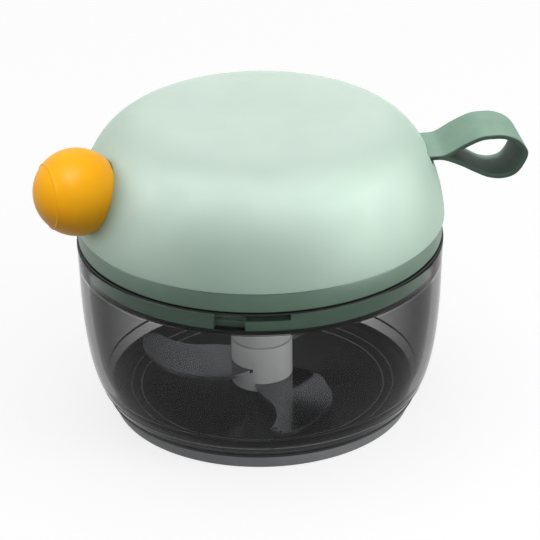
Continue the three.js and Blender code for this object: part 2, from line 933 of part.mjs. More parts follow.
// A flat spiral band, from the arbor out to the drum's cup
function powerSpringGeometry() {
  const outerRadius = reelCupRadius - springOuterGap;
  const steps = springTurns * springStepsPerTurn;
  const edge = (offset) =>
    Array.from({ length: steps + 1 }, (_, step) => {
      const share = step / steps;
      const radius = springInnerRadius + (outerRadius - springInnerRadius) * share + offset;
      const angle = share * springTurns * 2 * PI;
      return new THREE.Vector2(radius * cos(angle), radius * sin(angle));
    });
  const outline = [...edge(springThickness / 2), ...edge(-springThickness / 2).reverse()];
  const settings = { depth: springHeight, bevelEnabled: false };
  const band = new THREE.ExtrudeGeometry(new THREE.Shape(outline), settings);
  return band.translate(0, 0, reelCupFloorZ + seatGap);
}

// Arbor, screwed up into the cover
function arborGeometry() {
  const bottomZ = reelCupFloorZ + arborFootGap;
  const topZ = coverTopZ - coverWall - arborBossHeight - seatGap;
  const boreRadius = arborScrewRadius + seatGap;
  const headSocketRadius = arborScrewHeadRadius + seatGap;
  return lathe(
    [
      [headSocketRadius, bottomZ],
      [arborRadius, bottomZ],
      [arborRadius, topZ],
      [boreRadius, topZ],
      [boreRadius, arborScrewZ() + seatGap],
      [headSocketRadius, arborScrewZ() + seatGap],
    ],
    smallSides,
  );
}

// Height of the arbor screw's head, at its upper face
function arborScrewZ() {
  return coverTopZ - coverWall - arborBossHeight / 2 - arborScrewLength;
}

// Strap, laid out along X before it is turned to its angle
function strapGeometry() {
  const half = strapThickness / 2;
  const place = ([along, up]) => {
    const reach = up > 0 ? strapLoopRise : strapLoopDrop;
    const x = strapNeckRadius + along * strapLoopLength;
    return new THREE.Vector3(x, strapNeckZ + up * reach, 0);
  };
  const middle = new THREE.CatmullRomCurve3([
    new THREE.Vector3(strapNeckRadius, strapNeckZ + half, 0),
    ...[...strapTopShares, strapEndShare, ...strapLowShares].map(place),
    new THREE.Vector3(strapNeckRadius, strapNeckZ - half, 0),
  ]);
  const side = (offset) =>
    Array.from({ length: strapSteps + 1 }, (_, step) => {
      const point = middle.getPointAt(step / strapSteps);
      const tangent = middle.getTangentAt(step / strapSteps);
      return new THREE.Vector2(point.x - tangent.y * offset, point.y + tangent.x * offset);
    });
  const outline = new THREE.Shape();
  const eyeJoin = Math.asin(strapThickness / strapEyeRadius);
  outline.setFromPoints(side(half));
  outline.absarc(strapEyeCentreRadius, strapNeckZ, strapEyeRadius, -eyeJoin, eyeJoin, true);
  const loopHole = side(-half).slice(strapFusedSteps, -strapFusedSteps).reverse();
  outline.holes.push(new THREE.Path(loopHole));
  const settings = { depth: strapWidth, bevelEnabled: false, curveSegments: sectorSteps };
  const band = new THREE.ExtrudeGeometry(outline, settings);
  const eyeHole = bar(strapPinRadius + seatGap, -cutOverrun, strapWidth + cutOverrun, screwSides);
  const holed = cut(solid(band), [eyeHole.translate(strapEyeCentreRadius, strapNeckZ, 0)]);
  return geometryOf(holed).translate(0, 0, -strapWidth / 2).rotateX(PI / 2);
}

function strapPinGeometry() {
  const halfLength = strapWidth / 2 + runningGap + earWidth;
  return bar(strapPinRadius, -halfLength, halfLength, screwSides)
    .rotateX(PI / 2)
    .translate(strapEyeCentreRadius, 0, strapNeckZ);
}

// Knob, cap and knotted cord end, in the pull frame
function knobBodyGeometry() {
  const seamHeight = knobRadius * knobSeamShare;
  return lathe(
    [
      [knobBoreRadius, knobFlatRadius],
      ...arcProfile(knobRadius, knobCentreRadius, -knobRadius * knobFlatShare, seamHeight, knobSteps),
      [knobChamberRadius, knobCentreRadius + seamHeight],
      [knobChamberRadius, knobCentreRadius + knobChamberBaseHeight],
      [knobBoreRadius, knobCentreRadius + knobChamberBaseHeight],
    ],
    knobSides,
  );
}

function knobCapGeometry() {
  const seamHeight = knobRadius * knobSeamShare;
  const capRadius = knobRadius - knobCapInset;
  const plugRadius = knobChamberRadius - seatGap;
  return lathe(
    [
      [0, knobCentreRadius + seamHeight - capPlugDepth],
      [plugRadius, knobCentreRadius + seamHeight - capPlugDepth],
      [plugRadius, knobCentreRadius + seamHeight + knobCapGap],
      ...arcProfile(capRadius, knobCentreRadius, seamHeight + knobCapGap, capRadius, capSteps),
    ],
    knobSides,
  );
}

function cordKnotGeometry() {
  const knotCentreRadius = knobCentreRadius + knobChamberBaseHeight + seatGap + knotRadius;
  const neck = -sqrt(knotRadius ** 2 - cordRadius ** 2);
  return lathe(
    [
      [0, knobFlatRadius],
      [cordRadius, knobFlatRadius],
      ...arcProfile(knotRadius, knotCentreRadius, neck, knotRadius, knotSteps),
    ],
    screwSides,
  );
}

// Finishes
function finish(color, roughness, metalness = 0, opacity = 1) {
  const transparent = opacity < 1;
  return new THREE.MeshStandardMaterial({ color, roughness, metalness, opacity, transparent });
}

const finishes = {
  cover: finish(0xbfd0c3, 0.55),
  band: finish(0x8ba093, 0.5),
  bowl: finish(0x3c3d3f, 0.12, 0, 0.5),
  pad: finish(0x8a8b8c, 0.8),
  seal: finish(0x1c1f20, 0.7),
  hub: finish(0xd9dad8, 0.5),
  blade: finish(0xc3c6c8, 0.18, 1),
  steel: finish(0xb4b7ba, 0.3, 1),
  bush: finish(0xc9a86a, 0.35, 1),
  reel: finish(0xe4e4e0, 0.5),
  cord: finish(0xf0efe9, 0.9),
  strap: finish(0x96ad9e, 0.7),
  knob: finish(0xe6a028, 0.45),
  mark: finish(0xd2502f, 0.4),
};

function piece(name, geometry, material) {
  const mesh = new THREE.Mesh(geometry, material);
  mesh.name = name;
  return mesh;
}

function group(...members) {
  const holder = new THREE.Group();
  holder.add(...members);
  return holder;
}

// Bowl and seal
const bowlGroup = group(
  piece('foot_pad', footPadGeometry(), finishes.pad),
  piece('bowl', bowlGeometry(), finishes.bowl),
  piece('spindle_pin', spindleGeometry(), finishes.steel),
  piece('lid_seal', sealGeometry(), finishes.seal),
);

// Blade unit
const bladeGroup = group(
  piece('blade_hub', hubGeometry(), finishes.hub),
  piece('hub_bush', bushGeometry(), finishes.bush),
  piece('drive_sleeve', driveSleeveGeometry(), finishes.hub),
);
const sickle = bladeGeometry();
['blade_low', 'blade_middle', 'blade_high'].forEach((name, index) => {
  const blade = piece(name, sickle, finishes.blade);
  blade.position.z = bladeZ(index);
  blade.rotation.z = index * bladeStepAngle;
  bladeGroup.add(blade);
});

// Reel and its spring
const reelGroup = group(
  piece('reel', reelGeometry(), finishes.reel),
  piece('cord_winding', windingGeometry(), finishes.cord),
  piece('power_spring', powerSpringGeometry(), finishes.steel),
  piece('spring_retainer', retainerGeometry(), finishes.steel),
);

// Lid
const lidGroup = group(
  piece('lid_base', lidBaseGeometry(), finishes.band),
  piece('lock_mark', lockMarkGeometry(), finishes.mark),
  piece('reel_bush', reelBushGeometry(), finishes.bush),
  piece('cover', coverGeometry(), finishes.cover),
  piece('spring_arbor', arborGeometry(), finishes.hub),
  piece('cord_lead', cordLeadGeometry(), finishes.cord),
);
const arborScrew = piece(
  'arbor_screw',
  screwGeometry(arborScrewRadius, arborScrewLength, arborScrewHeadRadius, arborScrewHeadHeight),
  finishes.steel,
);
arborScrew.position.z = arborScrewZ();
lidGroup.add(arborScrew);
const coverScrew = screwGeometry(screwRadius, screwLength, screwHeadRadius, screwHeadHeight);
spreadAngles(screwCount, screwFirstAngle).forEach((angle, index) => {
  const screw = piece(`cover_screw_${index + 1}`, coverScrew, finishes.steel);
  const x = screwCircleRadius * cos(angle);
  const y = screwCircleRadius * sin(angle);
  screw.position.set(x, y, screwHeadTopZ());
  lidGroup.add(screw);
});
const strapGroup = group(
  piece('strap', strapGeometry(), finishes.strap),
  piece('strap_pin', strapPinGeometry(), finishes.steel),
);
strapGroup.rotation.z = strapAngle;
lidGroup.add(strapGroup);

// Pieces on the cord's line
const pullGroup = group(
  piece('cord_guide', guideGeometry(), finishes.steel),
  piece('knob_body', knobBodyGeometry(), finishes.knob),
  piece('knob_cap', knobCapGeometry(), finishes.knob),
  piece('cord_knot', cordKnotGeometry(), finishes.cord),
);
pullGroup.applyMatrix4(pullFrame);

const chopper = group(bowlGroup, bladeGroup, reelGroup, lidGroup, pullGroup);
console.log(`Least gap of the wound cord to itself: ${leastWindingGap().toFixed(2)} mm`);

export default chopper;
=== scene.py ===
# %% [markdown]
# # A pull cord garlic chopper
#
# This lesson dresses a small hand chopper: a smoke bowl with sickle blades, and a domed lid with a
# ball knob on a cord and a soft hanging strap. The exact solids already exist, so this script loads
# them as a frame and gives every part that shows a finer surface and a finish of its own. Lengths
# are written in millimetres and turned into Blender's metres where a mesh is made.

# %% Load the frame
import math

import bmesh
import bpy
from mathutils import Matrix, Vector


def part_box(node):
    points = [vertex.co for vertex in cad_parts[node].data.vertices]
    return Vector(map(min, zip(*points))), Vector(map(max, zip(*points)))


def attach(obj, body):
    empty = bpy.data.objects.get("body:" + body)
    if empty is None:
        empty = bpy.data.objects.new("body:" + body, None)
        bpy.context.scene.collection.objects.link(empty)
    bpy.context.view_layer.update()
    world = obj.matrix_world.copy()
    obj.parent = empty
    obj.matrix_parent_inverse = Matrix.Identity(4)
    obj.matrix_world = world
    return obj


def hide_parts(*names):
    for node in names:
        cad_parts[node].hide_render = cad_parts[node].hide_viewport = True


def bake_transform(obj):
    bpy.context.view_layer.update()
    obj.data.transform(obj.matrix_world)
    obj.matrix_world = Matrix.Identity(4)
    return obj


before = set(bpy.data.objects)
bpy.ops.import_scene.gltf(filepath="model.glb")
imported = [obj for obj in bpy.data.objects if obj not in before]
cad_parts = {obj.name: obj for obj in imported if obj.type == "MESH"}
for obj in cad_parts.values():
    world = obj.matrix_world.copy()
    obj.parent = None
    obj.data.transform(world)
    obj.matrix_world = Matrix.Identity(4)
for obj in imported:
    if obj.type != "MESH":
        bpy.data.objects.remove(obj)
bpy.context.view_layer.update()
MM = 0.001


def reach(node):
    """How far a round part reaches from the upright axis, and its lowest and highest height, in mm."""
    low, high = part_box(node)
    return high.y / MM, low.z / MM, high.z / MM


cover_radius, _, dome_top = reach("cover")
band_radius, skirt_bottom, spigot_top = reach("lid_base")
bowl_radius, bowl_underside, rim_top = reach("bowl")
pad_radius, _, pad_top = reach("foot_pad")
print(f"Dome {2 * cover_radius:.1f} mm across, top at {dome_top:.1f} mm, rim at {rim_top:.1f} mm")

# %% [markdown]
# ## The photographer's camera
#
# The picture was taken from above with a long lens, so the upright lines barely close in. The
# camera stands on the -Y side. A small roll and a small turn off the object's middle bring the
# object to its place in the square frame.

# %% Camera
SENSOR = 36
LENS = 174.5
CAMERA_PLACE = Vector((0, -629.6, 351.0)) * MM
CAMERA_PITCH = math.radians(25.92)
CAMERA_ROLL = math.radians(-0.92)
AIM_RIGHT = 0.00374
AIM_UP = -0.00932


def make_camera():
    right = Vector((1, 0, 0))
    forward = Vector((0, math.cos(CAMERA_PITCH), -math.sin(CAMERA_PITCH)))
    roll = Matrix.Rotation(CAMERA_ROLL, 3, -forward)
    right = roll @ right
    up = right.cross(forward)
    forward = (forward + AIM_RIGHT * right + AIM_UP * up).normalized()
    right = forward.cross(up).normalized()
    up = right.cross(forward)
    data = bpy.data.cameras.new("camera")
    data.lens = LENS
    data.sensor_width = SENSOR
    camera = bpy.data.objects.new("camera", data)
    bpy.context.collection.objects.link(camera)
    turn = Matrix((right, up, -forward)).transposed()
    camera.matrix_world = Matrix.Translation(CAMERA_PLACE) @ turn.to_4x4()
    bpy.context.scene.camera = camera


make_camera()
print(f"Camera with a {LENS} mm lens, looking down by {math.degrees(CAMERA_PITCH):.1f} degrees")

# %% [markdown]
# ## Studio light
#
# The photograph has a white ground and wide soft lights. The dome's crown and sides are bright, and
# its front sinks into gentle shade, because little light comes back from below. So the world and
# the ground look white to the camera, in mirrors and through glass, but light the object only
# weakly. Three plain area lamps shape it. Four wide ones show only in gloss and give the satin lid
# its sheen, and the knob and the strap have one each.


# %% World and lamps
def seen_white(nodes, links):
    """A socket that is 1 for the rays that see the background: straight, mirrored or through glass."""
    path = nodes.new("ShaderNodeLightPath")
    either = path.outputs["Is Camera Ray"]
    for name in ("Is Glossy Ray", "Is Transmission Ray"):
        larger = nodes.new("ShaderNodeMath")
        larger.operation = "MAXIMUM"
        links.new(either, larger.inputs[0])
        links.new(path.outputs[name], larger.inputs[1])
        either = larger.outputs[0]
    return either


def fill(node, **values):
    """Set a node's inputs by name, with an underscore for a space."""
    for name, value in values.items():
        node.inputs[name.replace("_", " ")].default_value = value
    return node


def mixed(nodes, links, factor, first, second):
    """The shader that goes from the first to the second one as the factor goes from 0 to 1."""
    mix = nodes.new("ShaderNodeMixShader")
    for source, socket in zip((factor, first, second), mix.inputs):
        links.new(source, socket)
    return mix.outputs["Shader"]


def make_world():
    world = bpy.data.worlds.new("studio")
    bpy.context.scene.world = world
    world.use_nodes = True
    nodes, links = world.node_tree.nodes, world.node_tree.links
    nodes.clear()
    backgrounds = []
    for strength in (WORLD_FILL, 1):
        background = fill(nodes.new("ShaderNodeBackground"), Color=(1, 1, 1, 1), Strength=strength)
        backgrounds.append(background.outputs["Background"])
    shader = mixed(nodes, links, seen_white(nodes, links), *backgrounds)
    links.new(shader, nodes.new("ShaderNodeOutputWorld").inputs["Surface"])


def make_lamp(name, place, size, watts, sheen_only=False):
    """A soft square lamp that faces the object's middle. A sheen lamp shows only in gloss."""
    data = bpy.data.lights.new(name, "AREA")
    data.size = size * MM
    data.energy = watts
    lamp = bpy.data.objects.new(name, data)
    bpy.context.collection.objects.link(lamp)
    lamp.location = Vector(place) * MM
    aim = Vector((0, 0, dome_top / 2)) * MM - lamp.location
    lamp.rotation_euler = aim.to_track_quat("-Z", "Y").to_euler()
    lamp.visible_diffuse = not sheen_only
    return lamp


WORLD_FILL = 0.4
make_world()
make_lamp("overhead", (-40, 40, 640), 420, 0.2)
side_lamps = [
    make_lamp("side_right", (540, -260, 150), 300, 1.25),
    make_lamp("front", (-60, -580, 170), 400, 0.5),
]
knob_lamp = make_lamp("knob_light", (-150, -230, 580), 260, 2.35)
strap_lamp = make_lamp("strap_light", (160, 120, 600), 260, 5.6)
sheen_lamps = [
    make_lamp("sheen_above", (20, -230, 690), 1100, 27, sheen_only=True),
    make_lamp("sheen_back", (40, 640, 560), 760, 8, sheen_only=True),
    make_lamp("sheen_right", (620, -110, 330), 950, 24, sheen_only=True),
    make_lamp("sheen_left", (-600, -20, 420), 900, 20, sheen_only=True),
]
print("World fill", WORLD_FILL)

bpy.context.scene.view_settings.view_transform = "Standard"

# %% [markdown]
# ## Helpers for turned parts
#
# Most parts here are turned: a profile of radius and height, swept about the upright axis. The
# spin operator does that from a chain of edges, and a small bevel on the ring edges gives the
# moulded rounding that catches light. A Catmull-Rom curve fills a profile where it is smooth.


# %% Turning and finishing helpers
def curve_through(points, steps=6):
    """Points of a smooth curve through the given ones."""
    ends = [points[0], *points, points[-1]]
    route = []
    for before, start, end, after in zip(ends, ends[1:], ends[2:], ends[3:]):
        for step in range(steps):
            t = step / steps
            weights = (
                -0.5 * t + t**2 - 0.5 * t**3,
                1 - 2.5 * t**2 + 1.5 * t**3,
                0.5 * t + 2 * t**2 - 1.5 * t**3,
                -0.5 * t**2 + 0.5 * t**3,
            )
            corners = zip(before, start, end, after)
            route.append(tuple(sum(w * c for w, c in zip(weights, corner)) for corner in corners))
    route.append(tuple(points[-1]))
    return route


def z_turn(degrees):
    return Matrix.Rotation(math.radians(degrees), 3, "Z")


def sweep(bm, profile, start, end, steps, closed=True):
    """Sweep a profile of (radius, height) pairs in mm about Z, between two angles in degrees."""
    turn = z_turn(start)
    chain = [bm.verts.new(turn @ Vector((radius, 0, height)) * MM) for radius, height in profile]
    links = [bm.edges.new(pair) for pair in zip(chain, chain[1:])]
    if closed:
        links.append(bm.edges.new((chain[-1], chain[0])))
    angle = math.radians(end - start)
    whole = end - start == 360
    geom = chain + links
    bmesh.ops.spin(bm, geom=geom, axis=(0, 0, 1), angle=angle, steps=steps, use_merge=whole)


def spun(profile, steps=144, soft=0.0):
    """A part turned all round from its profile, with its edges rounded by soft mm."""
    bm = bmesh.new()
    sweep(bm, profile, 0, 360, steps, closed=profile[0][0] > 0)
    bmesh.ops.remove_doubles(bm, verts=bm.verts, dist=0.005 * MM)
    bmesh.ops.recalc_face_normals(bm, faces=bm.faces)
    if soft:
        soften(bm, soft)
    return bm


def turned(bm, matrix, place=(0, 0, 0)):
    """Turn a bmesh about the middle, then move it to a place in mm."""
    bmesh.ops.rotate(bm, cent=(0, 0, 0), matrix=matrix, verts=bm.verts)
    bmesh.ops.translate(bm, vec=Vector(place) * MM, verts=bm.verts)
    return bm


def soften(bm, width, steps=3, least_turn=30, keep=None):
    """Round each edge that turns by more than least_turn degrees, or only those that keep picks."""
    sharp = [
        edge
        for edge in bm.edges
        if len(edge.link_faces) == 2
        and edge.calc_face_angle(0) > math.radians(least_turn)
        and (keep is None or keep(edge))
    ]
    options = {"affect": "EDGES", "profile": 0.5, "material": -1, "clamp_overlap": True}
    bmesh.ops.bevel(bm, geom=sharp, offset=width * MM, segments=steps, **options)


def mesh_object(bm, name):
    """An object in the scene that takes its mesh from a bmesh and frees it."""
    mesh = bpy.data.meshes.new(name)
    bm.to_mesh(mesh)
    bm.free()
    made = bpy.data.objects.new(name, mesh)
    bpy.context.collection.objects.link(made)
    return made


def make_piece(bm, name, body, finish, replaces=(), smooth=40):
    """Turn a bmesh into a piece that rides on its body, with its finish."""
    piece = mesh_object(bm, name)
    mesh = piece.data
    mesh.polygons.foreach_set("use_smooth", [True] * len(mesh.polygons))
    mesh.set_sharp_from_angle(angle=math.radians(smooth))
    mesh.materials.append(finish.material)
    if body:
        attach(piece, body)
    if replaces:
        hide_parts(*replaces)
    print(f"{name}: {len(mesh.polygons)} faces")
    return piece


# %% [markdown]
# ## Cutting
#
# Slots, sockets and hollows are cut by a Boolean modifier, which is applied at once so that the
# piece stays a plain mesh. The cutters are simple blocks, ring sectors and spheres.


# %% Cutting helpers
def combined(bm, other, operation):
    """The bmesh after a cut or a join with another one. Both are used up."""
    work, tool = mesh_object(bm, "work"), mesh_object(other, "tool")
    modifier = work.modifiers.new("combine", "BOOLEAN")
    modifier.object = tool
    modifier.operation = operation
    modifier.solver = "EXACT"
    depsgraph = bpy.context.evaluated_depsgraph_get()
    result = bmesh.new()
    result.from_mesh(work.evaluated_get(depsgraph).to_mesh())
    for used in (work, tool):
        mesh = used.data
        bpy.data.objects.remove(used)
        bpy.data.meshes.remove(mesh)
    return result


def ring_sector(inner, outer, low, high, start, end, steps=24):
    """A piece of a ring about Z, between two angles in degrees."""
    bm = bmesh.new()
    sweep(bm, [(inner, low), (outer, low), (outer, high), (inner, high)], start, end, steps)
    bmesh.ops.holes_fill(bm, edges=bm.edges, sides=0)
    bmesh.ops.recalc_face_normals(bm, faces=bm.faces)
    return bm


def block(size, place, turn=0.0):
    """A block of the given size about a place in mm, turned about Z by degrees."""
    bm = bmesh.new()
    bmesh.ops.create_cube(bm, size=1)
    bmesh.ops.scale(bm, vec=Vector(size) * MM, verts=bm.verts)
    bmesh.ops.translate(bm, vec=Vector(place) * MM, verts=bm.verts)
    return turned(bm, z_turn(turn))


def ball(radius, place, steps=64):
    bm = bmesh.new()
    bmesh.ops.create_uvsphere(bm, u_segments=steps, v_segments=steps // 2, radius=radius * MM)
    bmesh.ops.translate(bm, vec=Vector(place) * MM, verts=bm.verts)
    return bm


def rod(radius, start, end, steps=48):
    """A round bar between two places in mm."""
    first, last = Vector(start), Vector(end)
    bm = bmesh.new()
    wide, long = radius * MM, (last - first).length * MM
    bmesh.ops.create_cone(bm, cap_ends=True, segments=steps, radius1=wide, radius2=wide, depth=long)
    turn = Vector((0, 0, 1)).rotation_difference(last - first).to_matrix()
    return turned(bm, turn, (first + last) / 2)


# %% [markdown]
# ## Finishes
#
# Each finish is a Principled shader fed by noise on Object coordinates. Moulded plastic gets a fine
# grain in its normal, and a slow drift in colour and roughness, because no moulding is quite even.


# %% Finish helpers
def srgb(red, green, blue):
    """A colour as seen on screen, from 0 to 255, as the linear values that shaders take."""

    def linear(value):
        share = value / 255
        return share / 12.92 if share <= 0.04045 else ((share + 0.055) / 1.055) ** 2.4

    return (linear(red), linear(green), linear(blue), 1)


class Finish:
    """A material under construction: a Principled shader and the nodes that feed it."""

    def __init__(self, name):
        self.material = bpy.data.materials.new(name)
        self.material.use_nodes = True
        self.nodes = self.material.node_tree.nodes
        self.links = self.material.node_tree.links
        self.shader = self.nodes["Principled BSDF"]
        self.place = self.nodes.new("ShaderNodeTexCoord").outputs["Object"]

    def set(self, **values):
        fill(self.shader, **values)

    def noise(self, grain, detail=3, stretch=(1, 1, 1)):
        """Noise whose blotches are about grain mm wide."""
        mapping = fill(self.nodes.new("ShaderNodeMapping"), Scale=stretch)
        self.links.new(self.place, mapping.inputs["Vector"])
        texture = fill(self.nodes.new("ShaderNodeTexNoise"), Scale=1 / (grain * MM), Detail=detail)
        self.links.new(mapping.outputs["Vector"], texture.inputs["Vector"])
        return texture.outputs["Fac"]

    def ranged(self, source, low, high, start=0.3, end=0.7):
        node = self.nodes.new("ShaderNodeMapRange")
        fill(node, From_Min=start, From_Max=end, To_Min=low, To_Max=high)
        self.links.new(source, node.inputs["Value"])
        return node.outputs["Result"]

    def colours(self, source, first, second, start=0.3, end=0.7):
        ramp = self.nodes.new("ShaderNodeValToRGB")
        ramp.color_ramp.elements[0].position = start
        ramp.color_ramp.elements[0].color = first
        ramp.color_ramp.elements[1].position = end
        ramp.color_ramp.elements[1].color = second
        self.links.new(source, ramp.inputs["Fac"])
        self.links.new(ramp.outputs["Color"], self.shader.inputs["Base Color"])

    def rough(self, source, low, high):
        self.links.new(self.ranged(source, low, high), self.shader.inputs["Roughness"])

    def bump(self, source, height, strength=1.0):
        """Raise the surface by up to height mm where the source is 1."""
        node = fill(self.nodes.new("ShaderNodeBump"), Strength=strength, Distance=height * MM)
        self.links.new(source, node.inputs["Height"])
        self.links.new(node.outputs["Normal"], self.shader.inputs["Normal"])

    def change_to(self, other, factor):
        """Show another shader where the factor is 1."""
        shader = mixed(self.nodes, self.links, factor, self.shader.outputs["BSDF"], other)
        self.links.new(shader, self.nodes["Material Output"].inputs["Surface"])


def moulded(name, dark, light, roughness, grain=0.35, height=0.006, drift=14):
    """Moulded plastic: a slow drift of colour, a fine grain, and roughness that varies a little."""
    finish = Finish(name)
    finish.colours(finish.noise(drift, 2), srgb(*dark), srgb(*light))
    finish.rough(finish.noise(drift / 3, 3), roughness - 0.04, roughness + 0.04)
    finish.bump(finish.noise(grain, 4), height)
    return finish


# %% [markdown]
# ## Plastics
#
# The cover is a satin mint green. The lid's base is painted a darker green than the cover, as painted
# shade under the dome's overhang. The knob is a warm orange yellow, and the hub is white with a little
# light passing through it. The fine ridges on the bowl get two paler greys, as painted highlights for
# the thin lines of light on them.

# %% Plastic finishes
cover_plastic = moulded("cover_plastic", (146, 174, 157), (151, 179, 161), 0.58, drift=22)
cover_plastic.set(Specular_IOR_Level=0.6)
# Two pale greys for the bowl's fine ridges: painted highlights for the thin lines of light on them.
ridge_glint_paint = moulded("ridge_glint_paint", (180, 181, 182), (190, 191, 192), 0.3, drift=5)
wall_glint_paint = moulded("wall_glint_paint", (100, 101, 102), (110, 111, 112), 0.3, drift=5)
# The band's green is darker than the cover's: painted shade for the dim band under the dome's
# overhang.
shaded_band_plastic = moulded("shaded_band_plastic", (72, 101, 84), (78, 108, 90), 0.45, drift=9)
knob_plastic = moulded("knob_plastic", (253, 174, 4), (254, 180, 6), 0.42, drift=6)
knob_plastic.set(Specular_IOR_Level=0.25)
hub_plastic = moulded("hub_plastic", (232, 233, 231), (240, 241, 239), 0.35, drift=5)
hub_plastic.set(Subsurface_Weight=0.15, Subsurface_Scale=2 * MM)
reel_plastic = moulded("reel_plastic", (222, 221, 214), (230, 229, 222), 0.45, drift=6)
mark_plastic = moulded("mark_plastic", (240, 62, 30), (246, 72, 36), 0.3, drift=3)
print("Eight moulded finishes")

# %% [markdown]
# ## Smoke plastic
#
# The bowl is clear plastic with a smoke tint. Seen at a slant more of it is in the way, so a Layer
# Weight node takes the tint from pale to dark. The rim is thin and paler, which its height tells. A
# real tint also has a little haze, and a very faint glow stands in for it. For shadow rays the
# plastic is plainly see-through, so that the lamps light what is inside.


# %% Smoke plastic
def smoke_plastic():
    """Clear smoke grey plastic, darker at a slant and paler in the thin rim. It lets lamps in."""
    finish = Finish("smoke_plastic")
    finish.set(Transmission_Weight=1, IOR=1.13, Specular_Tint=(0.3, 0.3, 0.3, 1))
    finish.set(Emission_Color=(1, 1, 1, 1))
    nodes, links = finish.nodes, finish.links
    slant = nodes.new("ShaderNodeLayerWeight")
    finish.colours(slant.outputs["Facing"], SMOKE_FACING, SMOKE_EDGE, 0.15, 0.6)
    thick = finish.shader.inputs["Base Color"].links[0].from_socket
    height = nodes.new("ShaderNodeSeparateXYZ")
    links.new(finish.place, height.inputs["Vector"])
    mix = nodes.new("ShaderNodeMix")
    mix.data_type = "RGBA"
    rim_start = (rim_top - RIM_SOCKET) * MM
    thin = finish.ranged(height.outputs["Z"], 0, 1, rim_start, rim_start + 0.2 * MM)
    colour_inputs = [socket for socket in mix.inputs if socket.type == "RGBA"]
    links.new(thin, mix.inputs["Factor"])
    links.new(thick, colour_inputs[0])
    colour_inputs[1].default_value = SMOKE_THIN
    links.new(mix.outputs[2], finish.shader.inputs["Base Color"])
    # Below the thin rim the plastic glows faintly: painted light that stands in for its haze.
    haze_glow = finish.ranged(thin, SMOKE_HAZE_GLOW, 0, 0, 1)
    links.new(haze_glow, finish.shader.inputs["Emission Strength"])
    finish.rough(finish.noise(5, 4), 0.015, 0.05)
    finish.bump(finish.noise(9, 2), 0.006, 0.3)
    clear = fill(nodes.new("ShaderNodeBsdfTransparent"), Color=LAMP_TINT)
    path = nodes.new("ShaderNodeLightPath")
    finish.change_to(clear.outputs["BSDF"], path.outputs["Is Shadow Ray"])
    return finish


SMOKE_FACING = (0.53, 0.53, 0.535, 1)
SMOKE_EDGE = (0.11, 0.11, 0.111, 1)
SMOKE_THIN = (0.66, 0.66, 0.66, 1)
SMOKE_HAZE_GLOW = 0.006
RIM_SOCKET = 5.9
LAMP_TINT = (0.55, 0.55, 0.55, 1)
bowl_plastic = smoke_plastic()
print(f"Smoke plastic, paler in the top {RIM_SOCKET} mm")

# %% [markdown]
# ## Silicone, cord and metal
#
# Silicone is matte, with little gloss and a dusty drift in roughness. Ground steel has fine
# scratches, so its noise is stretched along the grinding direction. A blade's upright sides get a much
# paler steel, a painted highlight for the light line along its edge.


# %% Silicone, cord and metal finishes
def silicone(name, dark, light, roughness):
    finish = moulded(name, dark, light, roughness, grain=0.5, height=0.01, drift=7)
    finish.set(Specular_IOR_Level=0.25)
    return finish


pad_silicone = silicone("pad_silicone", (128, 129, 131), (138, 139, 141), 0.55)
seal_silicone = silicone("seal_silicone", (22, 24, 25), (28, 30, 31), 0.45)
strap_silicone = silicone("strap_silicone", (92, 116, 102), (98, 122, 108), 0.6)


def ground_steel(name, roughness, stretch=(1, 1, 1)):
    finish = Finish(name)
    finish.set(Metallic=1.0, Anisotropic=0.35)
    finish.colours(finish.noise(6, 2), srgb(118, 120, 123), srgb(128, 130, 133))
    scratches = finish.noise(0.5, 3, stretch)
    finish.rough(scratches, roughness - 0.05, roughness + 0.06)
    finish.bump(scratches, 0.002)
    return finish


blade_steel = ground_steel("blade_steel", 0.12, (0.15, 3, 1))
# A much paler steel for the blades' upright sides: a painted highlight along their edges.
edge_glint_steel = ground_steel("edge_glint_steel", 0.3, (1, 1, 6))
edge_glint_steel.colours(edge_glint_steel.noise(6, 2), srgb(208, 209, 211), srgb(218, 219, 221))
pin_steel = ground_steel("pin_steel", 0.3, (1, 1, 6))
bush_bronze = ground_steel("bush_bronze", 0.34)
bush_bronze.colours(bush_bronze.noise(4, 2), srgb(196, 160, 96), srgb(206, 172, 108))


def braid():
    """White braided cord. The strands wind round it, so they follow its UV map."""
    finish = Finish("cord_braid")
    uv = finish.nodes.new("ShaderNodeUVMap")
    wave = fill(finish.nodes.new("ShaderNodeTexWave"), Scale=3, Distortion=1.5)
    wave.bands_direction = "DIAGONAL"
    finish.links.new(uv.outputs["UV"], wave.inputs["Vector"])
    finish.colours(wave.outputs["Fac"], srgb(205, 203, 196), srgb(238, 237, 231), 0.2, 0.8)
    finish.bump(wave.outputs["Fac"], 0.08, 0.8)
    finish.set(Roughness=0.85, Sheen_Weight=0.3)
    return finish


cord_braid = braid()
print("Three silicones, three steels, bronze and braid")

# %% [markdown]
# ## Foot pad
#
# A grey silicone cup grips the bowl's foot. It is a turned part with a flat underside and a raised
# rim. A thin black ring in the gap between it and the bowl is painted shade for the gap's shadow.

# %% Foot pad
PAD_BOTTOM_RADIUS = 40.1
PAD_THICKNESS = 1.9
PAD_RIM_WALL = 3.4


def make_foot_pad():
    inner = pad_radius - PAD_RIM_WALL
    profile = [
        (0, 0),
        (PAD_BOTTOM_RADIUS, 0),
        (pad_radius, pad_top),
        (inner, pad_top),
        (inner, PAD_THICKNESS),
        (0, PAD_THICKNESS),
    ]
    make_piece(spun(profile, soft=0.45), "foot_cup", "bowl", pad_silicone, ["foot_pad"])


make_foot_pad()

# %% [markdown]
# ## Bowl
#
# The bowl's side bulges just above the foot and then stands nearly upright. Its outside is a smooth
# curve through a few shares of the way from the foot to the rim. The inside follows it at the wall's
# thickness, with a stepped ring round the flat floor. Three small lugs inside the rim take the lid.

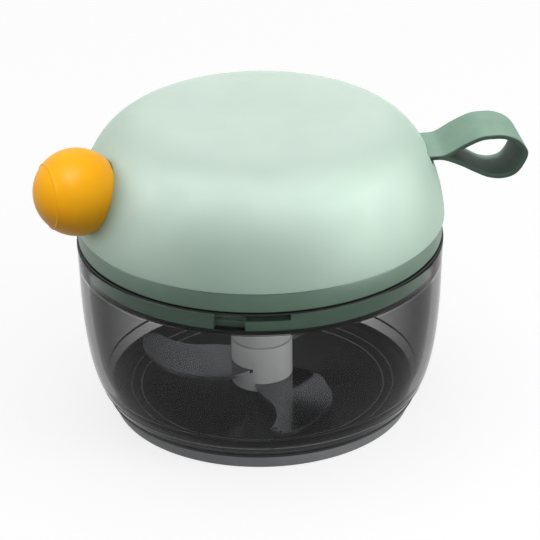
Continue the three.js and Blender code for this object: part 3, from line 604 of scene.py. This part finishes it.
# %% Bowl's sizes
BOWL_FOOT_RADIUS = 42.1
BOWL_WALL = 2.3
BOWL_FLOOR = 2
RIM_WALL = 1.05
SEAT_GAP = 0.3
FLOOR_RADIUS = 33.2
FLOOR_RING_RADIUS = 35.9
FLOOR_RING_RISE = 0.6
FLOOR_CURVE_RISE = 1.1
DISC_RADIUS = 10.9
DISC_RISE = 0.3
SOCKET_FLOOR = 0.7
LEDGE_SLOPE = 0.7
BOSS_RADIUS = 4.3
BOSS_HEIGHT = 3.8
SPINDLE_RADIUS = 2
LUG_ANGLES = [260.2, 20.2, 140.2]
LUG_HALF_ANGLE = 4.3
LUG_REACH = 2.3
LUG_HEIGHT = 1.2
side_shares = [
    (0, 0), (0.425, 0.126), (0.652, 0.253), (0.785, 0.38), (0.87, 0.505), (0.923, 0.632),
    (0.95, 0.759), (0.975, 0.883), (1, 0.985),
]
foot_z = pad_top + SEAT_GAP
floor_z = bowl_underside + BOWL_FLOOR
ledge_z = rim_top - RIM_SOCKET
rim_inner = bowl_radius - RIM_WALL
print(f"Bowl's foot at {foot_z:.1f} mm, floor at {floor_z:.1f} mm, ledge at {ledge_z:.1f} mm")


# %% Bowl
def side_place(out_share, up_share, wall=0.0):
    radius = BOWL_FOOT_RADIUS + (bowl_radius - BOWL_FOOT_RADIUS) * out_share
    return radius - wall, foot_z + (rim_top - foot_z) * up_share


def make_bowl():
    outside = curve_through([side_place(*share) for share in side_shares], 4)
    inside = curve_through([side_place(*share, BOWL_WALL) for share in side_shares[1:-1]], 4)
    plug = pad_radius - PAD_RIM_WALL - SEAT_GAP
    ring_z = floor_z + FLOOR_RING_RISE
    wall_foot = inside[0]
    floor_round = curve_through(
        [
            (FLOOR_RING_RADIUS, ring_z),
            (FLOOR_RING_RADIUS + (wall_foot[0] - FLOOR_RING_RADIUS) * 0.5, ring_z + FLOOR_CURVE_RISE),
            wall_foot,
        ],
        5,
    )
    profile = [
        (0, bowl_underside),
        (plug, bowl_underside),
        (plug, foot_z),
        *outside,
        (bowl_radius, rim_top),
        (rim_inner, rim_top),
        (rim_inner, ledge_z),
        (inside[-1][0], ledge_z - LEDGE_SLOPE),
        *reversed(inside),
        *reversed(floor_round[:-1]),
        (FLOOR_RADIUS, floor_z),
        (DISC_RADIUS, floor_z),
        (DISC_RADIUS - DISC_RISE, floor_z + DISC_RISE),
        (BOSS_RADIUS, floor_z + DISC_RISE),
        (BOSS_RADIUS, floor_z + BOSS_HEIGHT),
        (SPINDLE_RADIUS + SEAT_GAP, floor_z + BOSS_HEIGHT),
        (SPINDLE_RADIUS + SEAT_GAP, bowl_underside + SOCKET_FLOOR),
        (0, bowl_underside + SOCKET_FLOOR),
    ]
    bm = spun(profile, soft=0.35)
    lug_top = rim_top - SEAT_GAP
    inner, outer = rim_inner - LUG_REACH, rim_inner + RIM_WALL / 2
    for angle in LUG_ANGLES:
        ends = (angle - LUG_HALF_ANGLE, angle + LUG_HALF_ANGLE)
        lug = ring_sector(inner, outer, lug_top - LUG_HEIGHT, lug_top, *ends, steps=8)
        bm = combined(bm, lug, "UNION")
    make_piece(bm, "smoke_bowl", "bowl", bowl_plastic, ["bowl"])


make_bowl()

# %% [markdown]
# ## Fine ridges with painted highlights, and painted shade at the foot's joint
#
# Two thin rings of light lie on the real bowl's floor, and one low on its wall, where moulded edges
# catch the lamps. They are fine turned ridges here, sunk a little into the plastic, in pale greys as
# painted highlights. A black silicone ring fills the gap between the bowl and the foot pad, as painted
# shade for the gap's shadow.

# %% Fine ridges with painted highlights, and painted shade at the foot's joint
FOOT_RIDGE_Z = 7.9
floor_ridge_steps = [(-0.25, -0.03), (0.25, -0.03), (0.125, 0.12), (-0.125, 0.12)]
foot_glint_ridge_steps = [(-0.3, -0.25), (0.12, -0.125), (0.17, 0.125), (-0.2, 0.25)]
foot_gap_shade_steps = [(-1.2, -0.32), (0.15, -0.32), (0.35, 0.45), (-1, 0.45)]
outer_line = curve_through([side_place(*share) for share in side_shares], 16)
ridge_place = min(outer_line, key=lambda place: abs(place[1] - FOOT_RIDGE_Z))
outer_ring = (FLOOR_RING_RADIUS, floor_z + FLOOR_RING_RISE)


def make_line(name, place, steps, finish):
    """A thin turned line on the bowl, from steps out and up in mm about a place on its profile."""
    radius, height = place
    profile = [(radius + out, height + up) for out, up in steps]
    make_piece(spun(profile), name, "bowl", finish)


# The ridges' pale greys are painted highlights.
make_line("inner_floor_glint_ridge", (FLOOR_RADIUS, floor_z), floor_ridge_steps, ridge_glint_paint)
make_line("outer_floor_glint_ridge", outer_ring, floor_ridge_steps, ridge_glint_paint)
make_line("foot_glint_ridge", ridge_place, foot_glint_ridge_steps, wall_glint_paint)
# The black ring in the gap above the foot pad is painted shade for the gap's shadow.
make_line("foot_gap_shade", outer_line[0], foot_gap_shade_steps, seal_silicone)

# %% [markdown]
# ## Seals
#
# A thin black silicone ring lies on the rim and shows as a dark line under the lid. A second black
# ring is a lip along the foot of the lid's skirt at the ledge inside the bowl, a seal whose black is
# also painted shade for the dark gap there.

# %% Seals
SEAL_INNER_RADIUS = 47.7
SKIRT_RADIUS = 47.55
SKIRT_WALL = 2.6
LIP_INSET = 0.15
LIP_GAP = 0.1
LIP_SLANT = 0.5


def make_seals():
    outer, low, high = reach("lid_seal")
    profile = [(SEAL_INNER_RADIUS, low), (outer, low), (outer, high), (SEAL_INNER_RADIUS, high)]
    make_piece(spun(profile, soft=0.2), "rim_seal", "seal", seal_silicone, ["lid_seal"])
    outer = SKIRT_RADIUS - LIP_INSET
    inner = SKIRT_RADIUS - SKIRT_WALL + LIP_INSET
    profile = [
        (inner, skirt_bottom + LIP_GAP),
        (inner + LIP_SLANT, ledge_z + LIP_GAP),
        (outer, ledge_z + LIP_GAP),
        (outer, skirt_bottom + LIP_GAP),
    ]
    # The skirt's black lip: a seal, and painted shade for the dark gap at the ledge.
    make_piece(spun(profile, soft=0.2), "skirt_seal_and_shade", "lid", seal_silicone)


make_seals()

# %% [markdown]
# ## Blade unit
#
# The hub is two white turned parts with a fine joint between them. The lower one has a slot for each
# blade's root. The upper one carries a hexagonal head that the reel drives.

# %% Hub and sleeve
HUB_RADIUS = 8.3
SLEEVE_RADIUS = 8.0
HUB_BORE = 4.3
SLEEVE_TOP = 43.4
SLEEVE_HOLLOW_RADIUS = 4.6
SLEEVE_HOLLOW_TOP = 36
HUB_RECESS_RADIUS = 4.7
HUB_RECESS_DEPTH = 3.6
DRIVE_HEAD_RADIUS = 4.4
DRIVE_HEAD_SIDES = 6
DRIVE_HEAD_ROOT = 1
BLADE_NAMES = ["blade_low", "blade_middle", "blade_high"]
BLADE_STEP = -120
BLADE_ROOT_RADIUS = 5.7
BLADE_ROOT_START = -104
BLADE_ROOT_END = 12
BLADE_ROOT_STEPS = 12
SLOT_GAP = 0.04
SLOT_SIDE = 0.5


def blade_slot(name):
    """The slot that a blade's root sits in."""
    _, low, high = reach(name)
    turn = BLADE_NAMES.index(name) * BLADE_STEP
    start, end = BLADE_ROOT_START - SLOT_SIDE + turn, BLADE_ROOT_END + SLOT_SIDE + turn
    inner, outer = BLADE_ROOT_RADIUS - SEAT_GAP, HUB_RADIUS + 1
    return ring_sector(inner, outer, low - SLOT_GAP, high + SLOT_GAP, start, end)


def make_hub():
    _, hub_low, hub_high = reach("blade_hub")
    hub = [
        (HUB_RECESS_RADIUS, hub_low),
        (HUB_RADIUS, hub_low),
        (HUB_RADIUS, hub_high),
        (HUB_BORE, hub_high),
        (HUB_BORE, hub_low + HUB_RECESS_DEPTH),
        (HUB_RECESS_RADIUS, hub_low + HUB_RECESS_DEPTH),
    ]
    bm = spun(hub, soft=0.15)
    for name in BLADE_NAMES:
        bm = combined(bm, blade_slot(name), "DIFFERENCE")
    make_piece(bm, "hub_shell", "blades", hub_plastic, ["blade_hub"])


def make_sleeve():
    _, sleeve_low, sleeve_high = reach("drive_sleeve")
    sleeve = [
        (0, SLEEVE_HOLLOW_TOP),
        (SLEEVE_HOLLOW_RADIUS, SLEEVE_HOLLOW_TOP),
        (SLEEVE_HOLLOW_RADIUS, sleeve_low),
        (SLEEVE_RADIUS, sleeve_low),
        (SLEEVE_RADIUS, SLEEVE_TOP),
        (0, SLEEVE_TOP),
    ]
    bm = spun(sleeve, soft=0.12)
    head_low = (0, 0, SLEEVE_TOP - DRIVE_HEAD_ROOT)
    head = rod(DRIVE_HEAD_RADIUS, head_low, (0, 0, sleeve_high), DRIVE_HEAD_SIDES)
    soften(head, 0.35)
    bm = combined(bm, head, "UNION")
    make_piece(bm, "sleeve_shell", "blades", hub_plastic, ["drive_sleeve"])


make_hub()
make_sleeve()

# %% [markdown]
# ## Blades
#
# Each blade is a sickle that leaves the hub and sweeps back. Its outline is a smooth curve through
# shares of its reach. One face is extruded to the blade's thickness. Its outer edge is ground to a
# bevel, which the inset and a lowered rim make here, and its upright sides get a paler steel as a
# painted highlight.

# %% Blade's outline
BLADE_REACH = 35.7
GRIND_WIDTH = 1.7
GRIND_DEPTH = 0.55
UPRIGHT_LIMIT = 0.5
back_shares = [
    (0.426, -0.078), (0.499, -0.275), (0.524, -0.434), (0.487, -0.602), (0.37, -0.798),
    (0.255, -0.916), (0.126, -0.992),
]
tip_share = (0.05, -0.902)
hollow_shares = [
    (0.081, -0.835), (0.101, -0.714), (0.092, -0.591), (0.056, -0.496), (-0.006, -0.392),
]


def on_circle(radius, degrees):
    angle = math.radians(degrees)
    return radius * math.cos(angle), radius * math.sin(angle)


def blade_outline():
    """The back's points and the other points, in mm, anticlockwise round the blade."""
    back_points = [(x * BLADE_REACH, y * BLADE_REACH) for x, y in back_shares]
    hollow_points = [(x * BLADE_REACH, y * BLADE_REACH) for x, y in (tip_share, *hollow_shares)]
    back = curve_through([on_circle(HUB_RADIUS, BLADE_ROOT_END), *back_points])
    hollow = curve_through([*hollow_points, on_circle(HUB_RADIUS, BLADE_ROOT_START)])
    step = (BLADE_ROOT_END - BLADE_ROOT_START) / BLADE_ROOT_STEPS
    angles = [BLADE_ROOT_START + step * count for count in range(BLADE_ROOT_STEPS + 1)]
    return back, hollow + [on_circle(BLADE_ROOT_RADIUS, angle) for angle in angles]


# %% Blades
def make_blade(name):
    low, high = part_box(name)
    back, rest = blade_outline()
    bm = bmesh.new()
    ring = [bm.verts.new((x * MM, y * MM, low.z)) for x, y in back + rest]
    sheet = bm.faces.new(ring)
    if sheet.normal.z < 0:
        sheet.normal_flip()
    raised = bmesh.ops.extrude_face_region(bm, geom=[sheet])["geom"]
    top_verts = [part for part in raised if isinstance(part, bmesh.types.BMVert)]
    top = [part for part in raised if isinstance(part, bmesh.types.BMFace)]
    bmesh.ops.translate(bm, vec=(0, 0, high.z - low.z), verts=top_verts)
    bmesh.ops.inset_region(bm, faces=top, thickness=GRIND_WIDTH * MM, use_even_offset=True)
    edge = {(round(x, 3), round(y, 3)) for x, y in back[2:]}
    for vert in top_verts:
        if vert.is_valid and (round(vert.co.x / MM, 3), round(vert.co.y / MM, 3)) in edge:
            vert.co.z -= GRIND_DEPTH * MM
    bmesh.ops.recalc_face_normals(bm, faces=bm.faces)
    turned(bm, z_turn(BLADE_NAMES.index(name) * BLADE_STEP))
    # Upright faces past the hub take the paler steel, a painted highlight.
    for face in bm.faces:
        past_hub = face.calc_center_median().xy.length > (HUB_RADIUS + 1) * MM
        if past_hub and abs(face.normal.z) < UPRIGHT_LIMIT:
            face.material_index = 1
    title = f"sickle_{name.removeprefix('blade_')}"
    blade = make_piece(bm, title, "blades", blade_steel, [name], smooth=12)
    blade.data.materials.append(edge_glint_steel.material)


for blade_name in BLADE_NAMES:
    make_blade(blade_name)

# %% [markdown]
# ## Lid base
#
# One turned part holds the green band, the skirt inside the bowl's rim, the plate and the reel's
# bearing tube. Each hooked slot is two ring sectors cut from the skirt: an entry and a side run. They
# stop short of its inner face, so that a thin green wall closes them.

# %% Lid base's sizes
BAND_GAP = 0.25
BAND_TOP = 54.9
PLATE_UNDERSIDE = 51
PLATE_THICKNESS = 2
BAND_WALL = 4.1
TUBE_BOTTOM = 46
TUBE_TOP = 57
TUBE_BORE = 8.2
TUBE_WALL = 2
SPIGOT_WALL = 1.4
SPIGOT_GAP = 0.4
COVER_WALL = 2
LOCK_TURN = 14
SLOT_SIDE_ANGLE = 0.55
SLOT_BACK_GAP = 0.2
MARK_THICKNESS = 0.8
MARK_ANGLES = (-20, 8)
SCREW_CIRCLE = 40
SCREW_HOLE_RADIUS = 1.65
SCREW_ANGLES = (100, 220, 340)
band_bottom = reach("lid_seal")[2] + BAND_GAP
spigot_radius = cover_radius - COVER_WALL - SPIGOT_GAP
print(f"Band from {band_bottom:.1f} to {BAND_TOP} mm")


# %% Lid base
def make_lid_base():
    tube = TUBE_BORE + TUBE_WALL
    plate_top = PLATE_UNDERSIDE + PLATE_THICKNESS
    profile = [
        (TUBE_BORE, TUBE_BOTTOM),
        (tube, TUBE_BOTTOM),
        (tube, PLATE_UNDERSIDE),
        (SKIRT_RADIUS - SKIRT_WALL, PLATE_UNDERSIDE),
        (SKIRT_RADIUS - SKIRT_WALL, skirt_bottom),
        (SKIRT_RADIUS, skirt_bottom),
        (SKIRT_RADIUS, band_bottom),
        (band_radius, band_bottom),
        (band_radius, BAND_TOP),
        (spigot_radius, BAND_TOP),
        (spigot_radius, spigot_top),
        (spigot_radius - SPIGOT_WALL, spigot_top),
        (spigot_radius - SPIGOT_WALL, BAND_TOP),
        (band_radius - BAND_WALL, BAND_TOP),
        (band_radius - BAND_WALL, plate_top),
        (tube, plate_top),
        (tube, TUBE_TOP),
        (TUBE_BORE, TUBE_TOP),
    ]
    bm = spun(profile, soft=0.3)
    half = LUG_HALF_ANGLE + SLOT_SIDE_ANGLE
    inner = rim_inner - LUG_REACH - SLOT_BACK_GAP
    outer = SKIRT_RADIUS + 1
    lug_top = rim_top - SEAT_GAP
    slot_top = lug_top + SEAT_GAP
    slot_low = lug_top - LUG_HEIGHT - SEAT_GAP
    for angle in LUG_ANGLES:
        entry = ring_sector(inner, outer, skirt_bottom - 1, slot_top, angle - half, angle + half)
        run = ring_sector(inner, outer, slot_low, slot_top, angle, angle + LOCK_TURN + half)
        bm = combined(bm, entry, "DIFFERENCE")
        bm = combined(bm, run, "DIFFERENCE")
    mark_top = reach("lock_mark")[2]
    gap_angle = math.degrees(SEAT_GAP / SKIRT_RADIUS)
    mark_inner = SKIRT_RADIUS - MARK_THICKNESS
    ends = (MARK_ANGLES[0] - gap_angle, MARK_ANGLES[1] + gap_angle)
    socket = ring_sector(mark_inner - SEAT_GAP, outer, skirt_bottom - 1, mark_top + SEAT_GAP, *ends)
    bm = combined(bm, socket, "DIFFERENCE")
    for angle in SCREW_ANGLES:
        x, y = on_circle(SCREW_CIRCLE, angle)
        hole = rod(SCREW_HOLE_RADIUS, (x, y, PLATE_UNDERSIDE - 1), (x, y, plate_top + 1), 24)
        bm = combined(bm, hole, "DIFFERENCE")
    make_piece(bm, "band_and_skirt", "lid", shaded_band_plastic, ["lid_base"], 30)
    mark = ring_sector(mark_inner, SKIRT_RADIUS, skirt_bottom, mark_top, *MARK_ANGLES, steps=40)
    soften(mark, 0.15, 2)
    make_piece(mark, "red_mark", "lid", mark_plastic, ["lock_mark"], 30)


make_lid_base()

# %% [markdown]
# ## Cover
#
# The dome's side stands nearly upright and turns over into a shallow crown. Two powers of cosine
# and sine give that line. The ball knob nests in a round hollow, and the strap enters by a slot.

# %% Cover
CREASE_Z = 55.2
CREASE_SOFT = 0.45
SIDE_POWER = 6.3
TOP_POWER = 1.47
DOME_STEPS = 64
KNOB_ANGLE = 201
KNOB_RADIUS = 11.4
KNOB_RHO = 50.3
KNOB_Z = 70
KNOB_SEAT_RADIUS = 11.46
GUIDE_BORE_RADIUS = 2.6
GUIDE_BORE_RHO = 34
STRAP_ANGLE = 7.5
STRAP_WIDTH = 16
STRAP_SLOT_PLAY = 0.8
STRAP_SLOT_HEIGHT = 3.6
STRAP_NECK_Z = 70.6
STRAP_EYE_RHO = 37.6
pull_direction = Vector((*on_circle(1, KNOB_ANGLE), 0))


def on_line(rho):
    """A place on the cord's line, rho mm from the upright axis."""
    return pull_direction * rho + Vector((0, 0, KNOB_Z))


def dome_line(radius, height):
    """Half of the dome's profile above its crease, from the side to the top."""
    line = []
    for step in range(DOME_STEPS + 1):
        angle = math.pi / 2 * step / DOME_STEPS
        across = 0 if step == DOME_STEPS else radius * math.cos(angle) ** (2 / SIDE_POWER)
        line.append((across, CREASE_Z + height * math.sin(angle) ** (2 / TOP_POWER)))
    return line


def on_crease(edge):
    return all(abs(vert.co.z / MM - CREASE_Z) < 0.01 for vert in edge.verts)


def make_cover():
    height = dome_top - CREASE_Z
    outside = dome_line(cover_radius, height)
    inside = dome_line(cover_radius - COVER_WALL, height - COVER_WALL)
    bm = spun([*reversed(inside), *outside], steps=192)
    soften(bm, CREASE_SOFT, steps=4, least_turn=40, keep=on_crease)
    centre = on_line(KNOB_RHO)
    plug = spun([(0, CREASE_Z), *outside], steps=192)
    lining = combined(ball(KNOB_SEAT_RADIUS + COVER_WALL, centre), plug, "INTERSECT")
    bm = combined(bm, lining, "UNION")
    bm = combined(bm, ball(KNOB_SEAT_RADIUS, centre, 96), "DIFFERENCE")
    bore = rod(GUIDE_BORE_RADIUS, on_line(GUIDE_BORE_RHO), centre, 32)
    bm = combined(bm, bore, "DIFFERENCE")
    slot_middle = ((cover_radius + STRAP_EYE_RHO) / 2, 0, STRAP_NECK_Z)
    slot_size = (cover_radius - STRAP_EYE_RHO, STRAP_WIDTH + STRAP_SLOT_PLAY, STRAP_SLOT_HEIGHT)
    bm = combined(bm, block(slot_size, slot_middle, STRAP_ANGLE), "DIFFERENCE")
    make_piece(bm, "dome", "lid", cover_plastic, ["cover"], 30)


make_cover()

# %% [markdown]
# ## Strap
#
# One band of silicone runs out of the dome, loops round and comes back in. Its middle line is a
# smooth curve through shares of the loop's length, rise and drop. The band gets its width by an
# extrude, its thickness by Solidify's operator, and rounded long edges by a bevel. The loop flares
# towards its back edge, as a soft band does when it is turned back on itself.

# %% Strap
STRAP_THICKNESS = 1.3
STRAP_NECK_RHO = 46.5
STRAP_INSIDE = 4
LOOP_LENGTH = 24.2
LOOP_RISE = 5.5
LOOP_DROP = 7.2
FLARE_UP = 1.06
FLARE_DOWN = 1.2
LOOP_END_DROP = 0.1
loop_shares = [
    (0.1, 0.2), (0.28, 0.62), (0.46, 0.94), (0.6, 1), (0.75, 0.94), (0.9, 0.62),
    (1, -LOOP_END_DROP / LOOP_DROP),
    (0.955, -0.5), (0.86, -0.87), (0.72, -1), (0.56, -0.92), (0.4, -0.66), (0.26, -0.4), (0.1, -0.16),
]


def loop_place(out_share, up_share):
    rise = up_share * (LOOP_RISE if up_share > 0 else LOOP_DROP)
    return STRAP_NECK_RHO + out_share * LOOP_LENGTH, STRAP_NECK_Z + rise


def strap_line():
    """The middle line of the band, out along its upper run and back along the lower one."""
    half = STRAP_THICKNESS / 2
    inside_rho = STRAP_EYE_RHO + STRAP_INSIDE
    start = [(inside_rho, STRAP_NECK_Z + half), (STRAP_NECK_RHO, STRAP_NECK_Z + half)]
    end = [(STRAP_NECK_RHO, STRAP_NECK_Z - half), (inside_rho, STRAP_NECK_Z - half)]
    return curve_through([*start, *(loop_place(*share) for share in loop_shares), *end], 8)


def make_strap():
    bm = bmesh.new()
    chain = [bm.verts.new(Vector((rho, -STRAP_WIDTH / 2, z)) * MM) for rho, z in strap_line()]
    links = [bm.edges.new(pair) for pair in zip(chain, chain[1:])]
    swept = bmesh.ops.extrude_edge_only(bm, edges=links)["geom"]
    moved = [part for part in swept if isinstance(part, bmesh.types.BMVert)]
    bmesh.ops.translate(bm, vec=(0, STRAP_WIDTH * MM, 0), verts=moved)
    for vert in moved:
        rise = vert.co.z - STRAP_NECK_Z * MM
        flare = FLARE_UP if rise > 0 else FLARE_DOWN
        if vert.co.x > (STRAP_NECK_RHO + 1) * MM:
            vert.co.z = STRAP_NECK_Z * MM + rise * flare
    bmesh.ops.recalc_face_normals(bm, faces=bm.faces)
    bmesh.ops.solidify(bm, geom=bm.faces[:], thickness=STRAP_THICKNESS * MM)
    bmesh.ops.recalc_face_normals(bm, faces=bm.faces)
    soften(bm, 0.35, least_turn=50)
    turned(bm, z_turn(STRAP_ANGLE))
    make_piece(bm, "strap_loop", "lid", strap_silicone, ["strap"])


make_strap()

# %% [markdown]
# ## Knob
#
# The ball is turned about the cord's line. A fine seam and a low ridge run round it where its outer
# cap is pressed in. The cord's knot sits in a chamber behind the cap.

# %% Knob
SEAM_SHARE = 0.683
FLAT_SHARE = 0.77
CHAMBER_RADIUS = 4.2
CHAMBER_FLOOR = 0.6
CORD_HOLE_RADIUS = 1.4
CAP_GAP = 0.02
CAP_STEP = 0.1
CAP_PLUG = 1.6
RIDGE_SHARE = 0.05
RIDGE_RISE = 0.14


def along_cord(bm):
    """Lay a part that was turned about Z along the cord's line."""
    turn = Vector((0, 0, 1)).rotation_difference(pull_direction).to_matrix()
    return turned(bm, turn, (0, 0, KNOB_Z))


def ball_line(radius, low_share, high_share, steps):
    start, end = math.asin(low_share), math.asin(high_share)
    angles = [start + (end - start) * step / steps for step in range(steps + 1)]
    return [(radius * math.cos(angle), KNOB_RHO + radius * math.sin(angle)) for angle in angles]


def make_knob():
    seam = KNOB_RADIUS * SEAM_SHARE
    body = [
        (CORD_HOLE_RADIUS, KNOB_RHO - KNOB_RADIUS * FLAT_SHARE),
        *ball_line(KNOB_RADIUS, -FLAT_SHARE, SEAM_SHARE - RIDGE_SHARE, 40),
        *ball_line(KNOB_RADIUS + RIDGE_RISE, SEAM_SHARE - RIDGE_SHARE / 2, SEAM_SHARE, 2),
        (CHAMBER_RADIUS, KNOB_RHO + seam),
        (CHAMBER_RADIUS, KNOB_RHO + CHAMBER_FLOOR),
        (CORD_HOLE_RADIUS, KNOB_RHO + CHAMBER_FLOOR),
    ]
    bm = along_cord(spun(body, steps=96, soft=0.12))
    make_piece(bm, "ball_body", "pull", knob_plastic, ["knob_body"], 30)

    cap_radius = KNOB_RADIUS - CAP_STEP
    seat = KNOB_RHO + seam + CAP_GAP
    plug = CHAMBER_RADIUS - SEAT_GAP
    cap = [
        (0, KNOB_RHO + seam - CAP_PLUG),
        (plug, KNOB_RHO + seam - CAP_PLUG),
        (plug, seat),
        *ball_line(cap_radius, (seat - KNOB_RHO) / cap_radius, 1, 24)[:-1],
        (0, KNOB_RHO + cap_radius),
    ]
    bm = along_cord(spun(cap, steps=96, soft=0.1))
    make_piece(bm, "ball_cap", "pull", knob_plastic, ["knob_cap"], 30)


make_knob()

# %% [markdown]
# ## Cord
#
# The braided cord winds round the reel's drum, leaves it at a tangent, bends into the steel guide
# and ends in a knot inside the ball. A ring of points is swept along the route. The run between the
# guide and the ball has many rings, so that it can draw out into a straight cord when the ball is
# pulled.

# %% Cord
CORD_RADIUS = 0.9
CORD_SIDES = 16
WINDING_RADIUS = 17.4
WINDING_TURNS = 3.5
WINDING_PITCH = 2.4
TURN_STEPS = 48
BEND_RHO = 33.68
BEND_LENGTH = 3
BEND_STEPS = 12
LEAD_STEPS = 16
RUN_STEPS = 160
GUIDE_MOUTH_RHO = 40.2
BALL_FLAT_RHO = 41.4
LEAVE_ANGLE = KNOB_ANGLE - math.degrees(math.acos(WINDING_RADIUS / BEND_RHO))
KNOT_SIZE = 0.72
KNOT_RHO = KNOB_RHO + 3.3
KNOT_STEPS = 120
KNOT_GAP = 0.02
KNOT_DEPTH = 1.4


def tube(route):
    """A cord swept along a route of places in mm, with a UV map that follows it."""
    places = [Vector(place) for place in route]
    bm = bmesh.new()
    uv = bm.loops.layers.uv.new("UVMap")
    side = Vector((0, 0, 1))
    rings, lengths = [], [0.0]
    for index, place in enumerate(places):
        before, after = places[max(index - 1, 0)], places[min(index + 1, len(places) - 1)]
        along = (after - before).normalized()
        side = (side - along * side.dot(along)).normalized()
        across = along.cross(side)
        ring = []
        for step in range(CORD_SIDES):
            angle = 2 * math.pi * step / CORD_SIDES
            offset = CORD_RADIUS * (math.cos(angle) * side + math.sin(angle) * across)
            ring.append(bm.verts.new((place + offset) * MM))
        rings.append(ring)
        if index:
            lengths.append(lengths[-1] + (place - places[index - 1]).length)
    for index, (low, high) in enumerate(zip(rings, rings[1:])):
        for step in range(CORD_SIDES):
            following = (step + 1) % CORD_SIDES
            face = bm.faces.new((low[step], low[following], high[following], high[step]))
            spans = (step, step + 1, step + 1, step)
            ends = (index, index, index + 1, index + 1)
            for loop, span, end in zip(face.loops, spans, ends):
                loop[uv].uv = (span / CORD_SIDES, lengths[end] / (2 * math.pi * CORD_RADIUS))
    bm.faces.new(reversed(rings[0]))
    bm.faces.new(rings[-1])
    bmesh.ops.recalc_face_normals(bm, faces=bm.faces)
    print(f"Cord of {lengths[-1]:.0f} mm")
    return bm


def winding_route():
    steps = round(WINDING_TURNS * TURN_STEPS)
    route = []
    for step in range(steps + 1):
        turns = WINDING_TURNS * step / steps
        height = KNOB_Z + (WINDING_TURNS / 2 - turns) * WINDING_PITCH
        route.append((*on_circle(WINDING_RADIUS, LEAVE_ANGLE - 360 * turns), height))
    return route


def lead_route():
    """From the drum to the guide, through a bend, and on to the knot."""
    leave = Vector(winding_route()[0])
    bend = on_line(BEND_RHO)
    bend_start = bend + (leave - bend).normalized() * BEND_LENGTH
    bend_rho = BEND_RHO + BEND_LENGTH
    route = [leave.lerp(bend_start, step / LEAD_STEPS) for step in range(LEAD_STEPS)]
    for step in range(BEND_STEPS + 1):
        share = step / BEND_STEPS
        route.append(bend_start.lerp(bend, share).lerp(bend.lerp(on_line(bend_rho), share), share))
    route += [on_line(bend_rho + (GUIDE_MOUTH_RHO - bend_rho) * step / 4) for step in (1, 2, 3)]
    run = BALL_FLAT_RHO - GUIDE_MOUTH_RHO
    route += [on_line(GUIDE_MOUTH_RHO + run * step / RUN_STEPS) for step in range(RUN_STEPS + 1)]
    route += [on_line(rho) for rho in (43, 45, 47, 49, KNOB_RHO + 1)]
    return route


def knot_route():
    """A trefoil round the cord's line, pulled tight."""
    sideways = pull_direction.cross(Vector((0, 0, 1)))
    route = []
    for step in range(KNOT_STEPS + 1):
        angle = 2 * math.pi * (KNOT_GAP + (1 - 2 * KNOT_GAP) * step / KNOT_STEPS)
        first = KNOT_SIZE * (math.sin(angle) + 2 * math.sin(2 * angle))
        second = KNOT_SIZE * (math.cos(angle) - 2 * math.cos(2 * angle))
        third = -KNOT_DEPTH * KNOT_SIZE * math.sin(3 * angle)
        route.append(on_line(KNOT_RHO + third) + sideways * first + Vector((0, 0, second)))
    return route


def make_cord():
    make_piece(tube(winding_route()), "wound_cord", "reel", cord_braid, ["cord_winding"])
    make_piece(tube(knot_route()), "end_knot", "pull", cord_braid, ["cord_knot"])
    piece = make_piece(tube(lead_route()), "cord_run", None, cord_braid, ["cord_lead"])
    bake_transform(piece)


make_cord()

# %% [markdown]
# ## Inner parts
#
# The bushes, the reel, the spring, the screws and the pins are plain turned parts inside the lid and
# the hub. They keep their solids and only get a finish.

# %% Inner parts
inner_parts = [
    (bush_bronze, ["hub_bush", "reel_bush"]),
    (reel_plastic, ["reel"]),
    (hub_plastic, ["spring_arbor"]),
    (pin_steel, ["spindle_pin", "strap_pin", "power_spring", "spring_retainer", "cord_guide"]),
    (pin_steel, ["arbor_screw", "cover_screw_1", "cover_screw_2", "cover_screw_3"]),
]
for finish, node_names in inner_parts:
    for node_name in node_names:
        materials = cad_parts[node_name].data.materials
        materials.clear()
        materials.append(finish.material)
    print(finish.material.name, "on", ", ".join(node_names))

# %% [markdown]
# ## Lamps for single pieces
#
# The satin lid mirrors a very large softbox, while the bowl and the blades inside it stay dark. The
# ball and the strap are lit from above, and the strap's inside stays in shade. Light linking gives
# that: such a lamp reaches only the pieces it is meant for, or all but one.


# %% Lamps for single pieces
def link_lamps(lamps, piece_names, state="INCLUDE"):
    """Let the lamps reach only the named pieces, or all but those where the state is EXCLUDE."""
    receivers = bpy.data.collections.new(f"lit_{piece_names[0]}")
    for name in piece_names:
        receivers.objects.link(bpy.data.objects[name])
    for member in receivers.collection_objects:
        member.light_linking.link_state = state
    for lamp in lamps:
        lamp.light_linking.receiver_collection = receivers
    print(len(lamps), "lamps", state.lower(), ", ".join(piece_names))


link_lamps(sheen_lamps, ["dome", "band_and_skirt"])
link_lamps([knob_lamp], ["ball_body", "ball_cap"])
link_lamps([strap_lamp], ["strap_loop"])
link_lamps(side_lamps, ["strap_loop", "ball_body", "ball_cap"], "EXCLUDE")

# %% [markdown]
# ## Ground
#
# A wide white ground takes the object's soft shadow. A little emission, seen only by the rays that
# see the background, brings it to the picture's white without lighting the object.


# %% Ground
def make_ground():
    bm = bmesh.new()
    bmesh.ops.create_grid(bm, x_segments=1, y_segments=1, size=4)
    ground = mesh_object(bm, "ground")
    ground.data.materials.append(ground_paper())


def ground_paper():
    """Paper that looks white but sends little light back up to the object."""
    paper = Finish("ground_paper")
    paper.set(Base_Color=(GROUND_BOUNCE, GROUND_BOUNCE, GROUND_BOUNCE, 1), Roughness=0.9)
    white = paper.nodes.new("ShaderNodeBsdfPrincipled")
    fill(white, Base_Color=(GROUND_WHITE, GROUND_WHITE, GROUND_WHITE, 1), Roughness=0.9)
    fill(white, Emission_Color=(1, 1, 1, 1), Emission_Strength=GROUND_LIFT)
    paper.change_to(white.outputs["BSDF"], seen_white(paper.nodes, paper.links))
    return paper.material


GROUND_BOUNCE = 0.22
GROUND_WHITE = 0.42
GROUND_LIFT = 0.75


make_ground()
